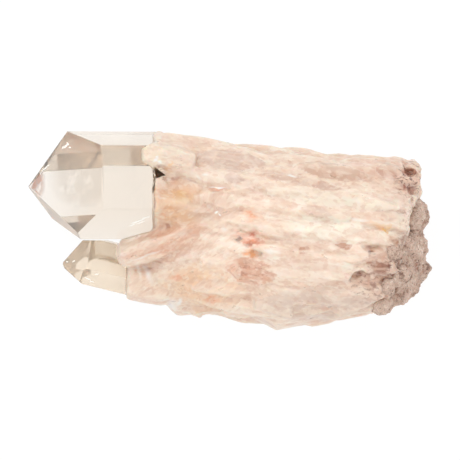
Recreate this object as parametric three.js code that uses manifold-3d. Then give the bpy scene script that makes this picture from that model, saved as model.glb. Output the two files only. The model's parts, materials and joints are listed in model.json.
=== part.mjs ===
// A raw citrine: a stout clear quartz point and a smaller one at the growing end of a bundle of
// long milky crystals, with a remnant of host rock on the broken root end.
// Millimetres, +Z up, the points towards -X. The cluster lies on a flat patch of its underside.
import * as THREE from 'three';
import { ConvexGeometry } from 'three/addons/geometries/ConvexGeometry.js';
import { mergeVertices } from 'three/addons/utils/BufferGeometryUtils.js';
import Module from 'manifold-3d';

const wasm = await Module();
wasm.setup();

const DEGREE = Math.PI / 180;
const ROCK_GAP = 0.3;
const REST_HEIGHT = 0;
const ROCK_ABOVE_TABLE = 1.2;

// Main point: a six-sided prism whose long axis rises a little towards the tip.
const MAIN_AXIS_RISE = 10;
const MAIN_ROLL = 11;
const MAIN_AXIS_POINT = [-44, 15.05, 24];
const MAIN_SIDE_DISTANCES = [17.5, 17.85, 14.57, 15.5, 15.29, 18.66];
const MAIN_SHOULDER_UPPER_X = -43.9;
const MAIN_SHOULDER_LOWER_X = -42.9;
const MAIN_TOP_CORNER_X = -56.4;
const MAIN_APEX = [-70.9, 15.05];
const MAIN_CHIN_X = -52.2;
const MAIN_LOWER_SIDE = [-65.2, 7.2];
const MAIN_REAR_X = -63;
const MAIN_ROOT_X = -22.4;

// Second point: smaller, below the main one, its axis turned and tipped. Its nose faces are given
// by the direction around the axis, the angle from the axis and how far they lie off the apex.
const SECOND_APEX = [-58.6, -12.3, 17];
const SECOND_AXIS_TURN = -14;
const SECOND_AXIS_RISE = 6;
const SECOND_ROLL = 22;
const SECOND_SIDE_DISTANCES = [6.8, 11.6, 8.6, 7.4, 4.7, 5.2];
const SECOND_NOSE_FACES = [
  { around: 82, slope: 25, offset: 1.4 },
  { around: 60, slope: 38, offset: 1.8 },
  { around: 20, slope: 50, offset: 0 },
  { around: -36, slope: 56, offset: 0.4 },
  { around: -98, slope: 38, offset: 0 },
  { around: -90, slope: 62, offset: 0.7 },
  { around: 150, slope: 52, offset: 0.5 },
  { around: 205, slope: 48, offset: 0 },
];
const SECOND_ROOT_LENGTH = 42;
const SLIT_BELOW_MAIN_Y = -3.95;

// The heart of the bundle: its sides, its top and its underside along its length. Where the
// underside reaches below the table it is worn flat, and that is what the cluster lies on.
const HEART_STATIONS = [
  { x: -28, low: -17, high: 26, top: 30, bottom: 9 },
  { x: -20, low: -26.4, high: 32.4, top: 34.5, bottom: 3.6 },
  { x: -11, low: -28.4, high: 31.2, top: 37.5, bottom: -0.3 },
  { x: 4, low: -29.2, high: 26.0, top: 40, bottom: -1.2 },
  { x: 16, low: -36.8, high: 28.8, top: 42, bottom: -1.2 },
  { x: 30, low: -33.6, high: 27.0, top: 42.5, bottom: -1.2 },
  { x: 46, low: -30.0, high: 23.8, top: 41, bottom: -0.6 },
  { x: 58, low: -26.4, high: 25.4, top: 38.5, bottom: 1.6 },
  { x: 70, low: -20, high: 21.5, top: 35, bottom: 5 },
];
const HEART_SQUARENESS = 0.78;
const HEART_CORNERS = 14;
const HEART_CORNER_SHIFT = 0.5;
const HEART_LEAST_GROWTH = 0.955;
const HEART_GROWTH_SPREAD = 0.06;
const HEART_OVERLAP = 0.4;

// The long crystals on the upper side of the bundle: where each starts and ends along the
// bundle and across it, its width, how far it stands proud and the length of its nose.
const RIDGES = [
  { x: [-25, 24], y: [30.6, 23.6], width: 11, proud: 3.0, nose: 9 },
  { x: [8, 44], y: [25.0, 20.4], width: 10, proud: 3.4, nose: 8 },
  { x: [29, 72], y: [20.8, 19.6], width: 10, proud: 3.4, nose: 9 },
  { x: [-24, 14], y: [22.2, 15.0], width: 9.5, proud: 3.0, nose: 8 },
  { x: [2, 40], y: [16.6, 11.4], width: 8, proud: 2.6, nose: 9 },
  { x: [31, 72], y: [12.6, 9.6], width: 8.6, proud: 2.8, nose: 8 },
  { x: [-14, 26], y: [12.6, 6.4], width: 8, proud: 2.2, nose: 10 },
  { x: [14, 52], y: [7.4, 3.2], width: 8.4, proud: 3.0, nose: 10 },
  { x: [40, 72], y: [4.4, 0.6], width: 8.4, proud: 2.6, nose: 7 },
  { x: [-4, 34], y: [4.2, -1.6], width: 8.6, proud: 3.6, nose: 9 },
  { x: [24, 60], y: [-1.2, -4.4], width: 7.6, proud: 2.8, nose: 9 },
  { x: [-8, 26], y: [-5.4, -9.0], width: 8.2, proud: 2.6, nose: 9 },
  { x: [20, 56], y: [-8.6, -10.4], width: 7.6, proud: 2.4, nose: 8 },
  { x: [-2, 30], y: [-15.6, -15.8], width: 8.0, proud: 2.6, nose: 8 },
  { x: [24, 60], y: [-15.4, -14.2], width: 7.6, proud: 3.0, nose: 9 },
  { x: [-27, 6], y: [-19.6, -21.4], width: 13, proud: 3.6, nose: 6 },
  { x: [0, 36], y: [-25.4, -25.4], width: 12, proud: 3.0, nose: 8 },
  { x: [28, 60], y: [-23.2, -20.4], width: 10, proud: 3.2, nose: 8 },
  { x: [-16, 10], y: [-10.4, -12.8], width: 8.6, proud: 2.4, nose: 8 },
  { x: [48, 74], y: [-6.4, -8.6], width: 7.4, proud: 2.0, nose: 7 },
  { x: [46, 72], y: [-12.6, -13.4], width: 7.6, proud: 2.2, nose: 7 },
];
const RIDGE_DEPTH_SHARE = 0.62;
const RIDGE_ROLL_SPREAD = 50;
const RIDGE_DIVE_SHARE = 0.8;

// Small crystals scattered between the long ones all round, and stouter ones along the underside:
// how many, the range of directions around the heart, the range of their left ends along it, the
// usual width and how far they stand proud.
const SMALL_RIDGES = { count: 60, around: [-20, 200], along: [-20, 56], width: 4.2, proud: 1.5, seed: 67 };
const UNDER_RIDGES = { count: 20, around: [195, 345], along: [-22, 44], width: 7, proud: 1.6, seed: 71 };

// How a crystal's six sides vary: its corners' directions in degrees and their reach from the axis.
const CRYSTAL_SIDES = 6;
const CORNER_TURN_SPREAD = 18;
const CORNER_REACH = { least: 0.88, spread: 0.2 };
const CORNER_SHAKE = { least: 0.97, spread: 0.06 };
const SHOULDER_SIZE = 0.95;
const ROOT_SIZE = 0.72;
const USUAL_BLUNTNESS = 0.42;

// Shorter crystals and lumps where the bundle meets the points: both ends of each, its half
// width, its half depth, its roll, the length of its nose and how blunt that is.
const STUBS = [
  {
    left: [-38.8, -9.8, 25.5], right: [-5, 1.0, 33],
    width: 5.8, depth: 7.5, roll: 12, nose: 3, blunt: 0.5,
  },
  {
    left: [-35.6, -18.2, 19.5], right: [-16, -20.0, 20],
    width: 8.4, depth: 9, roll: 30, nose: 1.2, blunt: 0.85,
  },
  {
    left: [-26.2, 10.8, 31.4], right: [-6, 6.6, 33],
    width: 9.4, depth: 9.8, roll: 3, nose: 2.0, blunt: 0.88,
  },
  {
    left: [-31.6, 25.0, 33.6], right: [-12, 22.4, 33],
    width: 6.4, depth: 7.2, roll: -24, nose: 3.5, blunt: 0.55,
  },
  {
    left: [-21.6, -25.2, 14], right: [-3, -23.6, 16],
    width: 7.0, depth: 8.6, roll: 35, nose: 2.5, blunt: 0.5,
  },
  {
    left: [-30, -12.2, 17], right: [-10, -11.4, 21],
    width: 6.0, depth: 9.6, roll: 20, nose: 3, blunt: 0.6,
  },
  {
    left: [-30, 30.2, 25.5], right: [2, 26.6, 26],
    width: 4.9, depth: 5.4, roll: 8, nose: 6, blunt: 0.3,
  },
];

// The solid knot inside, where the main point grows out of the bundle.
const KNOT = { at: [-21.5, 22, 25], size: [7, 8, 7.5] };

// Broken root face: planes that part the quartz from the host rock, each by a point on it and
// by the way it faces.
const ROOT_PLANES = [
  { point: [64.8, 6, 22], facing: [0.96, -0.2, 0.18] },
  { point: [58.8, -13, 20], facing: [0.9, -0.4, -0.12] },
  { point: [66.7, 14, 25], facing: [0.99, 0.06, -0.03] },
];
const BEYOND_ROOT_LIMITS = [
  { facing: [1, 0, 0], distance: 90 },
  { facing: [0, 1, 0], distance: 60 },
  { facing: [0, -1, 0], distance: 60 },
  { facing: [0, 0, 1], distance: 80 },
  { facing: [0, 0, -1], distance: 40 },
];
const TABLE_SLAB = [200, 120, 40];

// The host rock: jagged lumps that merge, with pits broken out of them.
const ROCK_LUMPS = [
  { at: [58, -9, 16.8], size: [11.4, 18.4, 16.6] },
  { at: [62.2, 4.4, 21], size: [7.6, 7.0, 11] },
  { at: [63.0, -14.4, 12], size: [8.4, 6.6, 9] },
  { at: [56, -21.6, 9], size: [8.4, 6.8, 8] },
  { at: [61.4, -8, 27.4], size: [6.4, 5.2, 6.2] },
  { at: [51.6, -25.2, 14], size: [6.6, 4.2, 5.6] },
  { at: [61.4, -2, 8.4], size: [7.8, 6.4, 6.6] },
  { at: [65.6, -6.4, 17.6], size: [4.4, 4.2, 5.4] },
];
const ROCK_PITS = [
  { at: [69.6, -2.6, 15], size: [2.0, 2.6, 3.2] },
  { at: [68.2, -9.6, 22.6], size: [2.4, 2.0, 2.4] },
  { at: [66.4, -19.4, 17.4], size: [2.6, 2.2, 2.2] },
  { at: [60.6, -16.4, 30.4], size: [2.8, 2.2, 2.0] },
];

// Pits and gaps broken or dissolved into the surface: place and half sizes.
const PITS = [
  { at: [-24.6, 17.4, 36], size: [2.8, 2.3, 12] },
  { at: [-25.9, 12.8, 36], size: [0.5, 4.6, 12] },
  { at: [62.5, 19.4, 31], size: [2.6, 2.6, 5] },
  { at: [64.0, 13.6, 34], size: [3.2, 2.2, 4] },
  { at: [6.6, -5.0, 41.8], size: [5.2, 1.5, 2.8] },
  { at: [9.4, -8.0, 40.6], size: [3.8, 1.7, 2.6] },
  { at: [50, -6.4, 41], size: [5.6, 1.5, 3.2] },
  { at: [44, -15.8, 39.6], size: [5.0, 1.5, 2.6] },
];

// A lump's outline: the reach of its rings from the lowest to the highest.
const LUMP_RINGS = [
  { level: -1, reach: 0.4 },
  { level: -0.55, reach: 0.85 },
  { level: 0.05, reach: 1 },
  { level: 0.6, reach: 0.8 },
  { level: 1, reach: 0.42 },
];
const LUMP_CORNERS = 8;

const quartz = new THREE.MeshStandardMaterial({
  color: 0xeacdb6,
  roughness: 0.25,
  metalness: 0,
  flatShading: true,
});
const hostRock = new THREE.MeshStandardMaterial({
  color: 0xb99b8d,
  roughness: 0.9,
  metalness: 0,
  flatShading: true,
});

function vector(values) {
  return new THREE.Vector3(values[0], values[1], values[2]);
}

function seededRandom(seed) {
  let state = seed;
  return () => {
    state = (state * 1664525 + 1013904223) % 4294967296;
    return state / 4294967296;
  };
}

// Solids are joined and cut as manifolds and turned back into a geometry at the end.
function solidFrom(geometry) {
  const bare = geometry.clone();
  bare.deleteAttribute('normal');
  bare.deleteAttribute('uv');
  const merged = mergeVertices(bare, 1e-4);
  return new wasm.Manifold(new wasm.Mesh({
    numProp: 3,
    vertProperties: Float32Array.from(merged.getAttribute('position').array),
    triVerts: Uint32Array.from(merged.index.array),
  }));
}

function geometryFrom(solid) {
  const mesh = solid.getMesh();
  const geometry = new THREE.BufferGeometry();
  geometry.setAttribute('position', new THREE.BufferAttribute(Float32Array.from(mesh.vertProperties), 3));
  geometry.setIndex(Array.from(mesh.triVerts));
  return geometry;
}

function hullOf(points) {
  return solidFrom(new ConvexGeometry(points));
}

function joined(solids) {
  return solids.reduce((whole, solid) => whole.add(solid));
}

function planeAt(facing, point) {
  const normal = facing.clone().normalize();
  return { normal, distance: normal.dot(point) };
}

function planeThrough(a, b, c, inside) {
  const normal = b.clone().sub(a).cross(c.clone().sub(a)).normalize();
  if (normal.dot(inside.clone().sub(a)) > 0) {
    normal.negate();
  }
  return { normal, distance: normal.dot(a) };
}

function meetingPoint(first, second, third) {
  const cross = second.normal.clone().cross(third.normal);
  const scale = first.normal.dot(cross);
  if (Math.abs(scale) < 1e-7) {
    return null;
  }
  return cross.multiplyScalar(first.distance)
    .add(third.normal.clone().cross(first.normal).multiplyScalar(second.distance))
    .add(first.normal.clone().cross(second.normal).multiplyScalar(third.distance))
    .divideScalar(scale);
}

// The corners that a set of face planes leaves, each plane facing out of the crystal.
function cornersOf(planes) {
  const corners = [];
  for (let i = 0; i < planes.length; i += 1) {
    for (let j = i + 1; j < planes.length; j += 1) {
      for (let k = j + 1; k < planes.length; k += 1) {
        const corner = meetingPoint(planes[i], planes[j], planes[k]);
        if (corner && planes.every((plane) => plane.normal.dot(corner) < plane.distance + 1e-4)) {
          corners.push(corner);
        }
      }
    }
  }
  return corners;
}

function crystalFrom(planes) {
  return hullOf(cornersOf(planes));
}

// The direction of a crystal's long axis towards its tip, and two directions across it.
function crystalAxes(turn, rise) {
  const tip = vector([-Math.cos(turn * DEGREE) * Math.cos(rise * DEGREE),
    -Math.sin(turn * DEGREE) * Math.cos(rise * DEGREE), Math.sin(rise * DEGREE)]);
  const side = vector([0, 0, 1]).cross(tip).normalize().negate();
  const up = tip.clone().cross(side).normalize();
  if (up.z < 0) {
    up.negate();
  }
  return { tip, side, up };
}

function prismSides(axes, through, roll, distances) {
  return distances.map((distance, index) => {
    const angle = (roll + index * 60) * DEGREE;
    const normal = axes.up.clone().multiplyScalar(Math.cos(angle))
      .add(axes.side.clone().multiplyScalar(Math.sin(angle)));
    return { normal, distance: distance + normal.dot(through) };
  });
}

function pointAtX(first, second, x) {
  return meetingPoint(first, second, { normal: vector([1, 0, 0]), distance: x });
}

function pointAbove(plane, x, y) {
  return vector([x, y, (plane.distance - plane.normal.x * x - plane.normal.y * y) / plane.normal.z]);
}

function mainPointPlanes() {
  const axes = crystalAxes(0, MAIN_AXIS_RISE);
  const through = vector(MAIN_AXIS_POINT);
  const sides = prismSides(axes, through, MAIN_ROLL, MAIN_SIDE_DISTANCES);
  const [front, top, upperRear, rear, , bottom] = sides;
  const topCorner = pointAtX(top, upperRear, MAIN_TOP_CORNER_X);
  const shoulder = pointAtX(front, top, MAIN_SHOULDER_UPPER_X);
  const elbow = pointAtX(front, bottom, MAIN_SHOULDER_LOWER_X);
  const bigFace = planeThrough(shoulder, elbow, topCorner, through);
  const apex = pointAbove(bigFace, MAIN_APEX[0], MAIN_APEX[1]);
  const chin = pointAtX(bigFace, bottom, MAIN_CHIN_X);
  const lowerSide = pointAbove(rear, MAIN_LOWER_SIDE[0], MAIN_LOWER_SIDE[1]);
  const lowerFace = planeThrough(apex, chin, lowerSide, through);
  const back = pointAtX(upperRear, rear, MAIN_REAR_X);
  const upperFace = planeThrough(apex, topCorner, back, through);
  const root = planeAt(vector([1, 0, 0]), vector([MAIN_ROOT_X, 0, 0]));
  return [...sides, bigFace, lowerFace, upperFace, root];
}

function secondPointPlanes() {
  const axes = crystalAxes(SECOND_AXIS_TURN, SECOND_AXIS_RISE);
  const apex = vector(SECOND_APEX);
  const sides = prismSides(axes, apex, SECOND_ROLL, SECOND_SIDE_DISTANCES);
  const nose = SECOND_NOSE_FACES.map(({ around, slope, offset }) => {
    const outward = axes.up.clone().multiplyScalar(Math.cos(around * DEGREE))
      .add(axes.side.clone().multiplyScalar(Math.sin(around * DEGREE)));
    const normal = outward.multiplyScalar(Math.sin(slope * DEGREE))
      .add(axes.tip.clone().multiplyScalar(Math.cos(slope * DEGREE)));
    return { normal, distance: offset + normal.dot(apex) };
  });
  const rootPoint = apex.clone().addScaledVector(axes.tip, -SECOND_ROOT_LENGTH);
  const root = planeAt(axes.tip.clone().negate(), rootPoint);
  const slit = planeAt(vector([0, 1, 0]), vector([0, SLIT_BELOW_MAIN_Y, 0]));
  return [...sides, ...nose, root, slit];
}

// Sides and top of the heart at any place along it.
function heartAt(x) {
  const passed = HEART_STATIONS.filter((station) => station.x <= x).length - 1;
  const index = Math.min(HEART_STATIONS.length - 2, Math.max(0, passed));
  const from = HEART_STATIONS[index];
  const to = HEART_STATIONS[index + 1];
  const share = Math.min(1, Math.max(0, (x - from.x) / (to.x - from.x)));
  const mix = (key) => from[key] + (to[key] - from[key]) * share;
  return {
    middle: (mix('low') + mix('high')) / 2,
    halfWidth: (mix('high') - mix('low')) / 2,
    centre: (mix('top') + mix('bottom')) / 2,
    halfDepth: (mix('top') - mix('bottom')) / 2,
  };
}

function rounded(value) {
  return Math.sign(value) * Math.abs(value) ** HEART_SQUARENESS;
}

function heartPoint(x, angle, grow = 1) {
  const at = heartAt(x);
  return vector([x, at.middle + rounded(Math.cos(angle)) * at.halfWidth * grow,
    at.centre + rounded(Math.sin(angle)) * at.halfDepth * grow]);
}

// The direction around the heart at which its upper surface lies at a given y.
function angleAcross(x, y) {
  const at = heartAt(x);
  const share = Math.min(0.98, Math.max(-0.98, (y - at.middle) / at.halfWidth));
  return Math.acos(Math.sign(share) * Math.abs(share) ** (1 / HEART_SQUARENESS));
}

function heart() {
  const random = seededRandom(5);
  const sections = HEART_STATIONS.map(() => Array.from({ length: HEART_CORNERS }, (_, corner) => {
    const angle = (corner + (random() - 0.5) * HEART_CORNER_SHIFT) * 2 * Math.PI / HEART_CORNERS;
    return { angle, grow: HEART_LEAST_GROWTH + random() * HEART_GROWTH_SPREAD };
  }));
  const sectionAt = (index, x) => sections[index].map(({ angle, grow }) => heartPoint(x, angle, grow));
  const links = HEART_STATIONS.slice(1).map((station, index) => hullOf([
    ...sectionAt(index, HEART_STATIONS[index].x),
    ...sectionAt(index + 1, station.x + HEART_OVERLAP),
  ]));
  return joined(links);
}

// One long crystal with uneven sides between two places. It swells a little in the middle,
// slopes to a blunt edge at its left end and dives a little at its right end.
function longCrystal(shape, random) {
  const { left, right, out, width, depth, roll, nose, dive, blunt = USUAL_BLUNTNESS } = shape;
  const along = right.clone().sub(left);
  const length = along.length();
  along.normalize();
  const across = out.clone().cross(along).normalize();
  const up = along.clone().cross(across);
  const stations = [
    { place: 0, size: blunt, lift: (random() - 0.5) * (0.9 - blunt) },
    { place: Math.min(0.42, nose / length), size: SHOULDER_SIZE, lift: 0 },
    { place: 0.55 + random() * 0.15, size: 1, lift: 0 },
    { place: 1, size: ROOT_SIZE, lift: -dive / depth },
  ];
  const turns = Array.from({ length: CRYSTAL_SIDES }, () => (random() - 0.5) * CORNER_TURN_SPREAD);
  const { least, spread } = CORNER_REACH;
  const reach = Array.from({ length: CRYSTAL_SIDES }, () => least + random() * spread);
  const points = [];
  stations.forEach((station) => {
    const centre = left.clone().lerp(right, station.place);
    turns.forEach((turn, side) => {
      const angle = (roll + side * 360 / CRYSTAL_SIDES + turn) * DEGREE;
      const shake = CORNER_SHAKE.least + random() * CORNER_SHAKE.spread;
      const grow = station.size * reach[side] * shake;
      points.push(centre.clone()
        .addScaledVector(across, Math.sin(angle) * width * grow)
        .addScaledVector(up, (Math.cos(angle) * grow + station.lift) * depth));
    });
  });
  return hullOf(points);
}

// A crystal that lies on the heart between two places and directions, standing proud of it.
function ridgeOn({ x, angles, width, proud, nose }, random) {
  const depth = width * RIDGE_DEPTH_SHARE;
  const ends = angles.map((angle, index) => {
    const at = heartPoint(x[index], angle);
    const outward = vector([0, Math.cos(angle), Math.sin(angle)]);
    return { point: at.addScaledVector(outward, proud - depth), outward };
  });
  return longCrystal({
    left: ends[0].point,
    right: ends[1].point,
    out: ends[0].outward.add(ends[1].outward).normalize(),
    width: width / 2,
    depth,
    roll: (random() - 0.5) * RIDGE_ROLL_SPREAD,
    nose,
    dive: proud * RIDGE_DIVE_SHARE,
  }, random);
}

function upperRidges() {
  const random = seededRandom(23);
  return RIDGES.map((shape) => {
    const angles = shape.x.map((x, index) => angleAcross(x, shape.y[index]));
    return ridgeOn({ ...shape, angles }, random);
  });
}

// Crystals of about one size, spread evenly around the heart and unevenly along it. Each drifts
// a few degrees around the heart as it goes.
function scatteredRidges({ count, around, along, width, proud, seed }) {
  const random = seededRandom(seed);
  return Array.from({ length: count }, (_, index) => {
    const start = along[0] + random() * (along[1] - along[0]);
    const length = (3.5 + random() * 3) * width;
    const angle = (around[0] + (index + random()) / count * (around[1] - around[0])) * DEGREE;
    const drift = (4 + random() * 7) * DEGREE * Math.sign(Math.cos(angle) + 0.4);
    return ridgeOn({
      x: [start, start + length],
      angles: [angle, angle + drift],
      width: width * (0.75 + random() * 0.6),
      proud: proud * (0.6 + random() * 0.8),
      nose: width * 0.9,
    }, random);
  });
}

function stubs() {
  const random = seededRandom(41);
  return STUBS.map((shape) => longCrystal({
    ...shape,
    left: vector(shape.left),
    right: vector(shape.right),
    out: vector([0, 0, 1]),
    dive: 0,
  }, random));
}

// A jagged lump, which is added as rock or cut away as a pit.
function lump(shape, seed) {
  const random = seededRandom(seed);
  const centre = vector(shape.at);
  const points = [];
  LUMP_RINGS.forEach(({ level, reach }) => {
    for (let step = 0; step < LUMP_CORNERS; step += 1) {
      const angle = (step + random() * 0.6) * Math.PI * 2 / LUMP_CORNERS;
      const grow = reach * (0.86 + random() * 0.22);
      points.push(centre.clone().add(vector([Math.cos(angle) * shape.size[0] * grow,
        Math.sin(angle) * shape.size[1] * grow, level * shape.size[2] * (0.88 + random() * 0.14)])));
    }
  });
  return hullOf(points);
}

function slabBelow(height) {
  const [length, width, depth] = TABLE_SLAB;
  const geometry = new THREE.BoxGeometry(length, width, depth);
  geometry.translate(0, 0, height - depth / 2);
  return solidFrom(geometry);
}

// Everything beyond the broken root face, moved outwards by a gap.
function beyondRoot(gap) {
  const limits = BEYOND_ROOT_LIMITS.map(({ facing, distance }) => ({ normal: vector(facing), distance }));
  return joined(ROOT_PLANES.map(({ point, facing }) => {
    const plane = planeAt(vector(facing), vector(point));
    return crystalFrom([{ normal: plane.normal.negate(), distance: -(plane.distance + gap) }, ...limits]);
  }));
}

function crystalCluster() {
  const bundle = joined([
    heart(),
    lump(KNOT, 401),
    ...upperRidges(),
    ...scatteredRidges(SMALL_RIDGES),
    ...scatteredRidges(UNDER_RIDGES),
    ...stubs(),
  ]);
  const pits = joined(PITS.map((shape, index) => lump(shape, 301 + index)));
  return joined([bundle.subtract(pits), crystalFrom(mainPointPlanes()), crystalFrom(secondPointPlanes())])
    .subtract(slabBelow(REST_HEIGHT))
    .subtract(beyondRoot(0));
}

function hostRockRemnant() {
  const rock = joined(ROCK_LUMPS.map((shape, index) => lump(shape, 501 + index)));
  const pits = joined(ROCK_PITS.map((shape, index) => lump(shape, 601 + index)));
  return rock.subtract(pits).intersect(beyondRoot(ROCK_GAP)).subtract(slabBelow(ROCK_ABOVE_TABLE));
}

function named(name, solid, material) {
  const mesh = new THREE.Mesh(geometryFrom(solid), material);
  mesh.name = name;
  return mesh;
}

const citrine = new THREE.Group();
citrine.add(named('crystal_cluster', crystalCluster(), quartz));
citrine.add(named('matrix_rock', hostRockRemnant(), hostRock));

// The origin is under the middle of the whole piece, on the surface that it lies on.
const reach = new THREE.Box3().setFromObject(citrine);
citrine.position.set(-(reach.min.x + reach.max.x) / 2, -(reach.min.y + reach.max.y) / 2, -reach.min.z);

export default citrine;
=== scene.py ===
"""A raw citrine: clear quartz points on a bundle of milky crystals, with host rock at the root.

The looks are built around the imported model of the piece. Sizes are in millimetres in the part's
own frame, +Z up, with the points towards -X, and become metres in the row frame when meshes are
made.
"""

import json
import logging
import math
from dataclasses import dataclass
from enum import Enum
from typing import Sequence

import bpy
import numpy as np
from mathutils import Matrix, Vector

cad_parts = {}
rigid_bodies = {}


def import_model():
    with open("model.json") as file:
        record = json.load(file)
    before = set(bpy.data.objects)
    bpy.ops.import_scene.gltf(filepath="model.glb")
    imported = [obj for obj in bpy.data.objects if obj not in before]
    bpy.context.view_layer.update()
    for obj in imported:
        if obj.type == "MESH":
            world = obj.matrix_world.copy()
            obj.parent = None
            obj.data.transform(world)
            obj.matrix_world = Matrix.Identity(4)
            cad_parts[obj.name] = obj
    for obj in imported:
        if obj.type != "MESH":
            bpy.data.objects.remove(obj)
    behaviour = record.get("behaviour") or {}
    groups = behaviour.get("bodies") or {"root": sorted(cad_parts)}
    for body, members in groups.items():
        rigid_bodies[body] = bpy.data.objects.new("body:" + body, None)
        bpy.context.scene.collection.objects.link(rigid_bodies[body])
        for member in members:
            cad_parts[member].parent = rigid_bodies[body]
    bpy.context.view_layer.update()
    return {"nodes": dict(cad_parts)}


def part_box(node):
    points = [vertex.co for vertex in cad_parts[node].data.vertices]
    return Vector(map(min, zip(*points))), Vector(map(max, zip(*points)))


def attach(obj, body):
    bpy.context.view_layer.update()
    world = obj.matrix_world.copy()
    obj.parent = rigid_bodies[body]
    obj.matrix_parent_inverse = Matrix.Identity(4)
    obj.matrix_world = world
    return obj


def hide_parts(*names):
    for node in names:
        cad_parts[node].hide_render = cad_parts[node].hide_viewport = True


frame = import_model()

LOG = logging.getLogger("citrine")
MM = 0.001

Triple = tuple[float, float, float]
Pair = tuple[float, float]
Colour = tuple[int, int, int]
Socket = bpy.types.NodeSocket

QUARTZ_IOR = 1.544
# Degrees that the bundle's crystals are turned from the length of the piece.
GRAIN_TURN = -8.0
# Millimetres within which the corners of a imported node's loose triangles are one.
MERGE_WITHIN = 0.002
# The least part of a normal that points one way, for a face at the end of a crystal.
END_FACING = 0.9
# The least part of a normal that points up, for a face that is seen from above.
UPWARD = 0.02


class Slot(Enum):
    """The record's material slots."""

    MILKY = "milky_quartz"
    CLEAR = "clear_quartz"
    ROCK = "host_rock"


def paint(red: int, green: int, blue: int) -> tuple[float, float, float, float]:
    """A colour given as it looks on a screen, as the linear colour that shaders take.

    Args:
        red: Red from 0 to 255.
        green: Green from 0 to 255.
        blue: Blue from 0 to 255.

    Returns:
        The linear colour with full opacity.
    """

    def linear(value: int) -> float:
        """One channel made linear."""
        share = value / 255
        return share / 12.92 if share <= 0.04045 else ((share + 0.055) / 1.055) ** 2.4

    return (linear(red), linear(green), linear(blue), 1.0)


@dataclass(frozen=True)
class FacePlane:
    """A flat face: its outward normal and its distance from the origin, in millimetres."""

    normal: Vector
    distance: float

    def moved(self, outwards: float) -> "FacePlane":
        """The same face moved outwards by so many millimetres."""
        return FacePlane(self.normal, self.distance + outwards)


def across_bundle(x: float) -> FacePlane:
    """The flat face across the bundle, towards its root, at a place along it."""
    return FacePlane(Vector((1, 0, 0)), x)


def plane_through(first: Vector, second: Vector, third: Vector, inside: Vector) -> FacePlane:
    """The plane through three points that faces away from a point inside.

    Args:
        first: A point on the plane.
        second: Another point on the plane.
        third: A third point on the plane.
        inside: A point behind the face.

    Returns:
        The plane.
    """
    normal = (second - first).cross(third - first).normalized()
    if normal.dot(inside - first) > 0:
        normal.negate()
    return FacePlane(normal, normal.dot(first))


def meeting_point(first: FacePlane, second: FacePlane, third: FacePlane) -> Vector:
    """The point that three planes share.

    Args:
        first: A plane.
        second: A plane across it.
        third: A plane across both.

    Returns:
        The point.
    """
    cross = second.normal.cross(third.normal)
    total = cross * first.distance
    total += third.normal.cross(first.normal) * second.distance
    total += first.normal.cross(second.normal) * third.distance
    return total / first.normal.dot(cross)


def point_at_x(first: FacePlane, second: FacePlane, x: float) -> Vector:
    """The point of two faces' shared edge at a place along the bundle."""
    return meeting_point(first, second, across_bundle(x))


def point_above(plane: FacePlane, x: float, y: float) -> Vector:
    """The point of a face over a place on the table."""
    normal = plane.normal
    return Vector((x, y, (plane.distance - normal.x * x - normal.y * y) / normal.z))


@dataclass(frozen=True)
class CrystalAxes:
    """A crystal's long axis towards its tip, and two directions across it."""

    tip: Vector
    side: Vector
    up: Vector

    @classmethod
    def from_angles(cls, turn: float, rise: float) -> "CrystalAxes":
        """The axes of a crystal that is turned on the table and rises towards its tip.

        Args:
            turn: Degrees that the tip is turned from -X.
            rise: Degrees that the tip rises.

        Returns:
            The axes.
        """
        turned, raised = math.radians(turn), math.radians(rise)
        tip = Vector(
            (
                -math.cos(turned) * math.cos(raised),
                -math.sin(turned) * math.cos(raised),
                math.sin(raised),
            )
        )
        side = -Vector((0, 0, 1)).cross(tip).normalized()
        up = tip.cross(side).normalized()
        if up.z < 0:
            up.negate()
        return cls(tip, side, up)

    def around(self, degrees: float) -> Vector:
        """The direction across the axis at an angle from up."""
        angle = math.radians(degrees)
        return self.up * math.cos(angle) + self.side * math.sin(angle)

    def sides(self, through: Vector, roll: float, distances: Sequence[float]) -> list[FacePlane]:
        """The six sides of the prism around the axis.

        Args:
            through: A point on the axis.
            roll: Degrees that the first side is turned from up.
            distances: How far each side lies from the axis.

        Returns:
            The sides, in their order around the axis.
        """
        step = 360 / len(distances)
        normals = [self.around(roll + step * index) for index in range(len(distances))]
        return [
            FacePlane(normal, distance + normal.dot(through))
            for normal, distance in zip(normals, distances)
        ]


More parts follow.
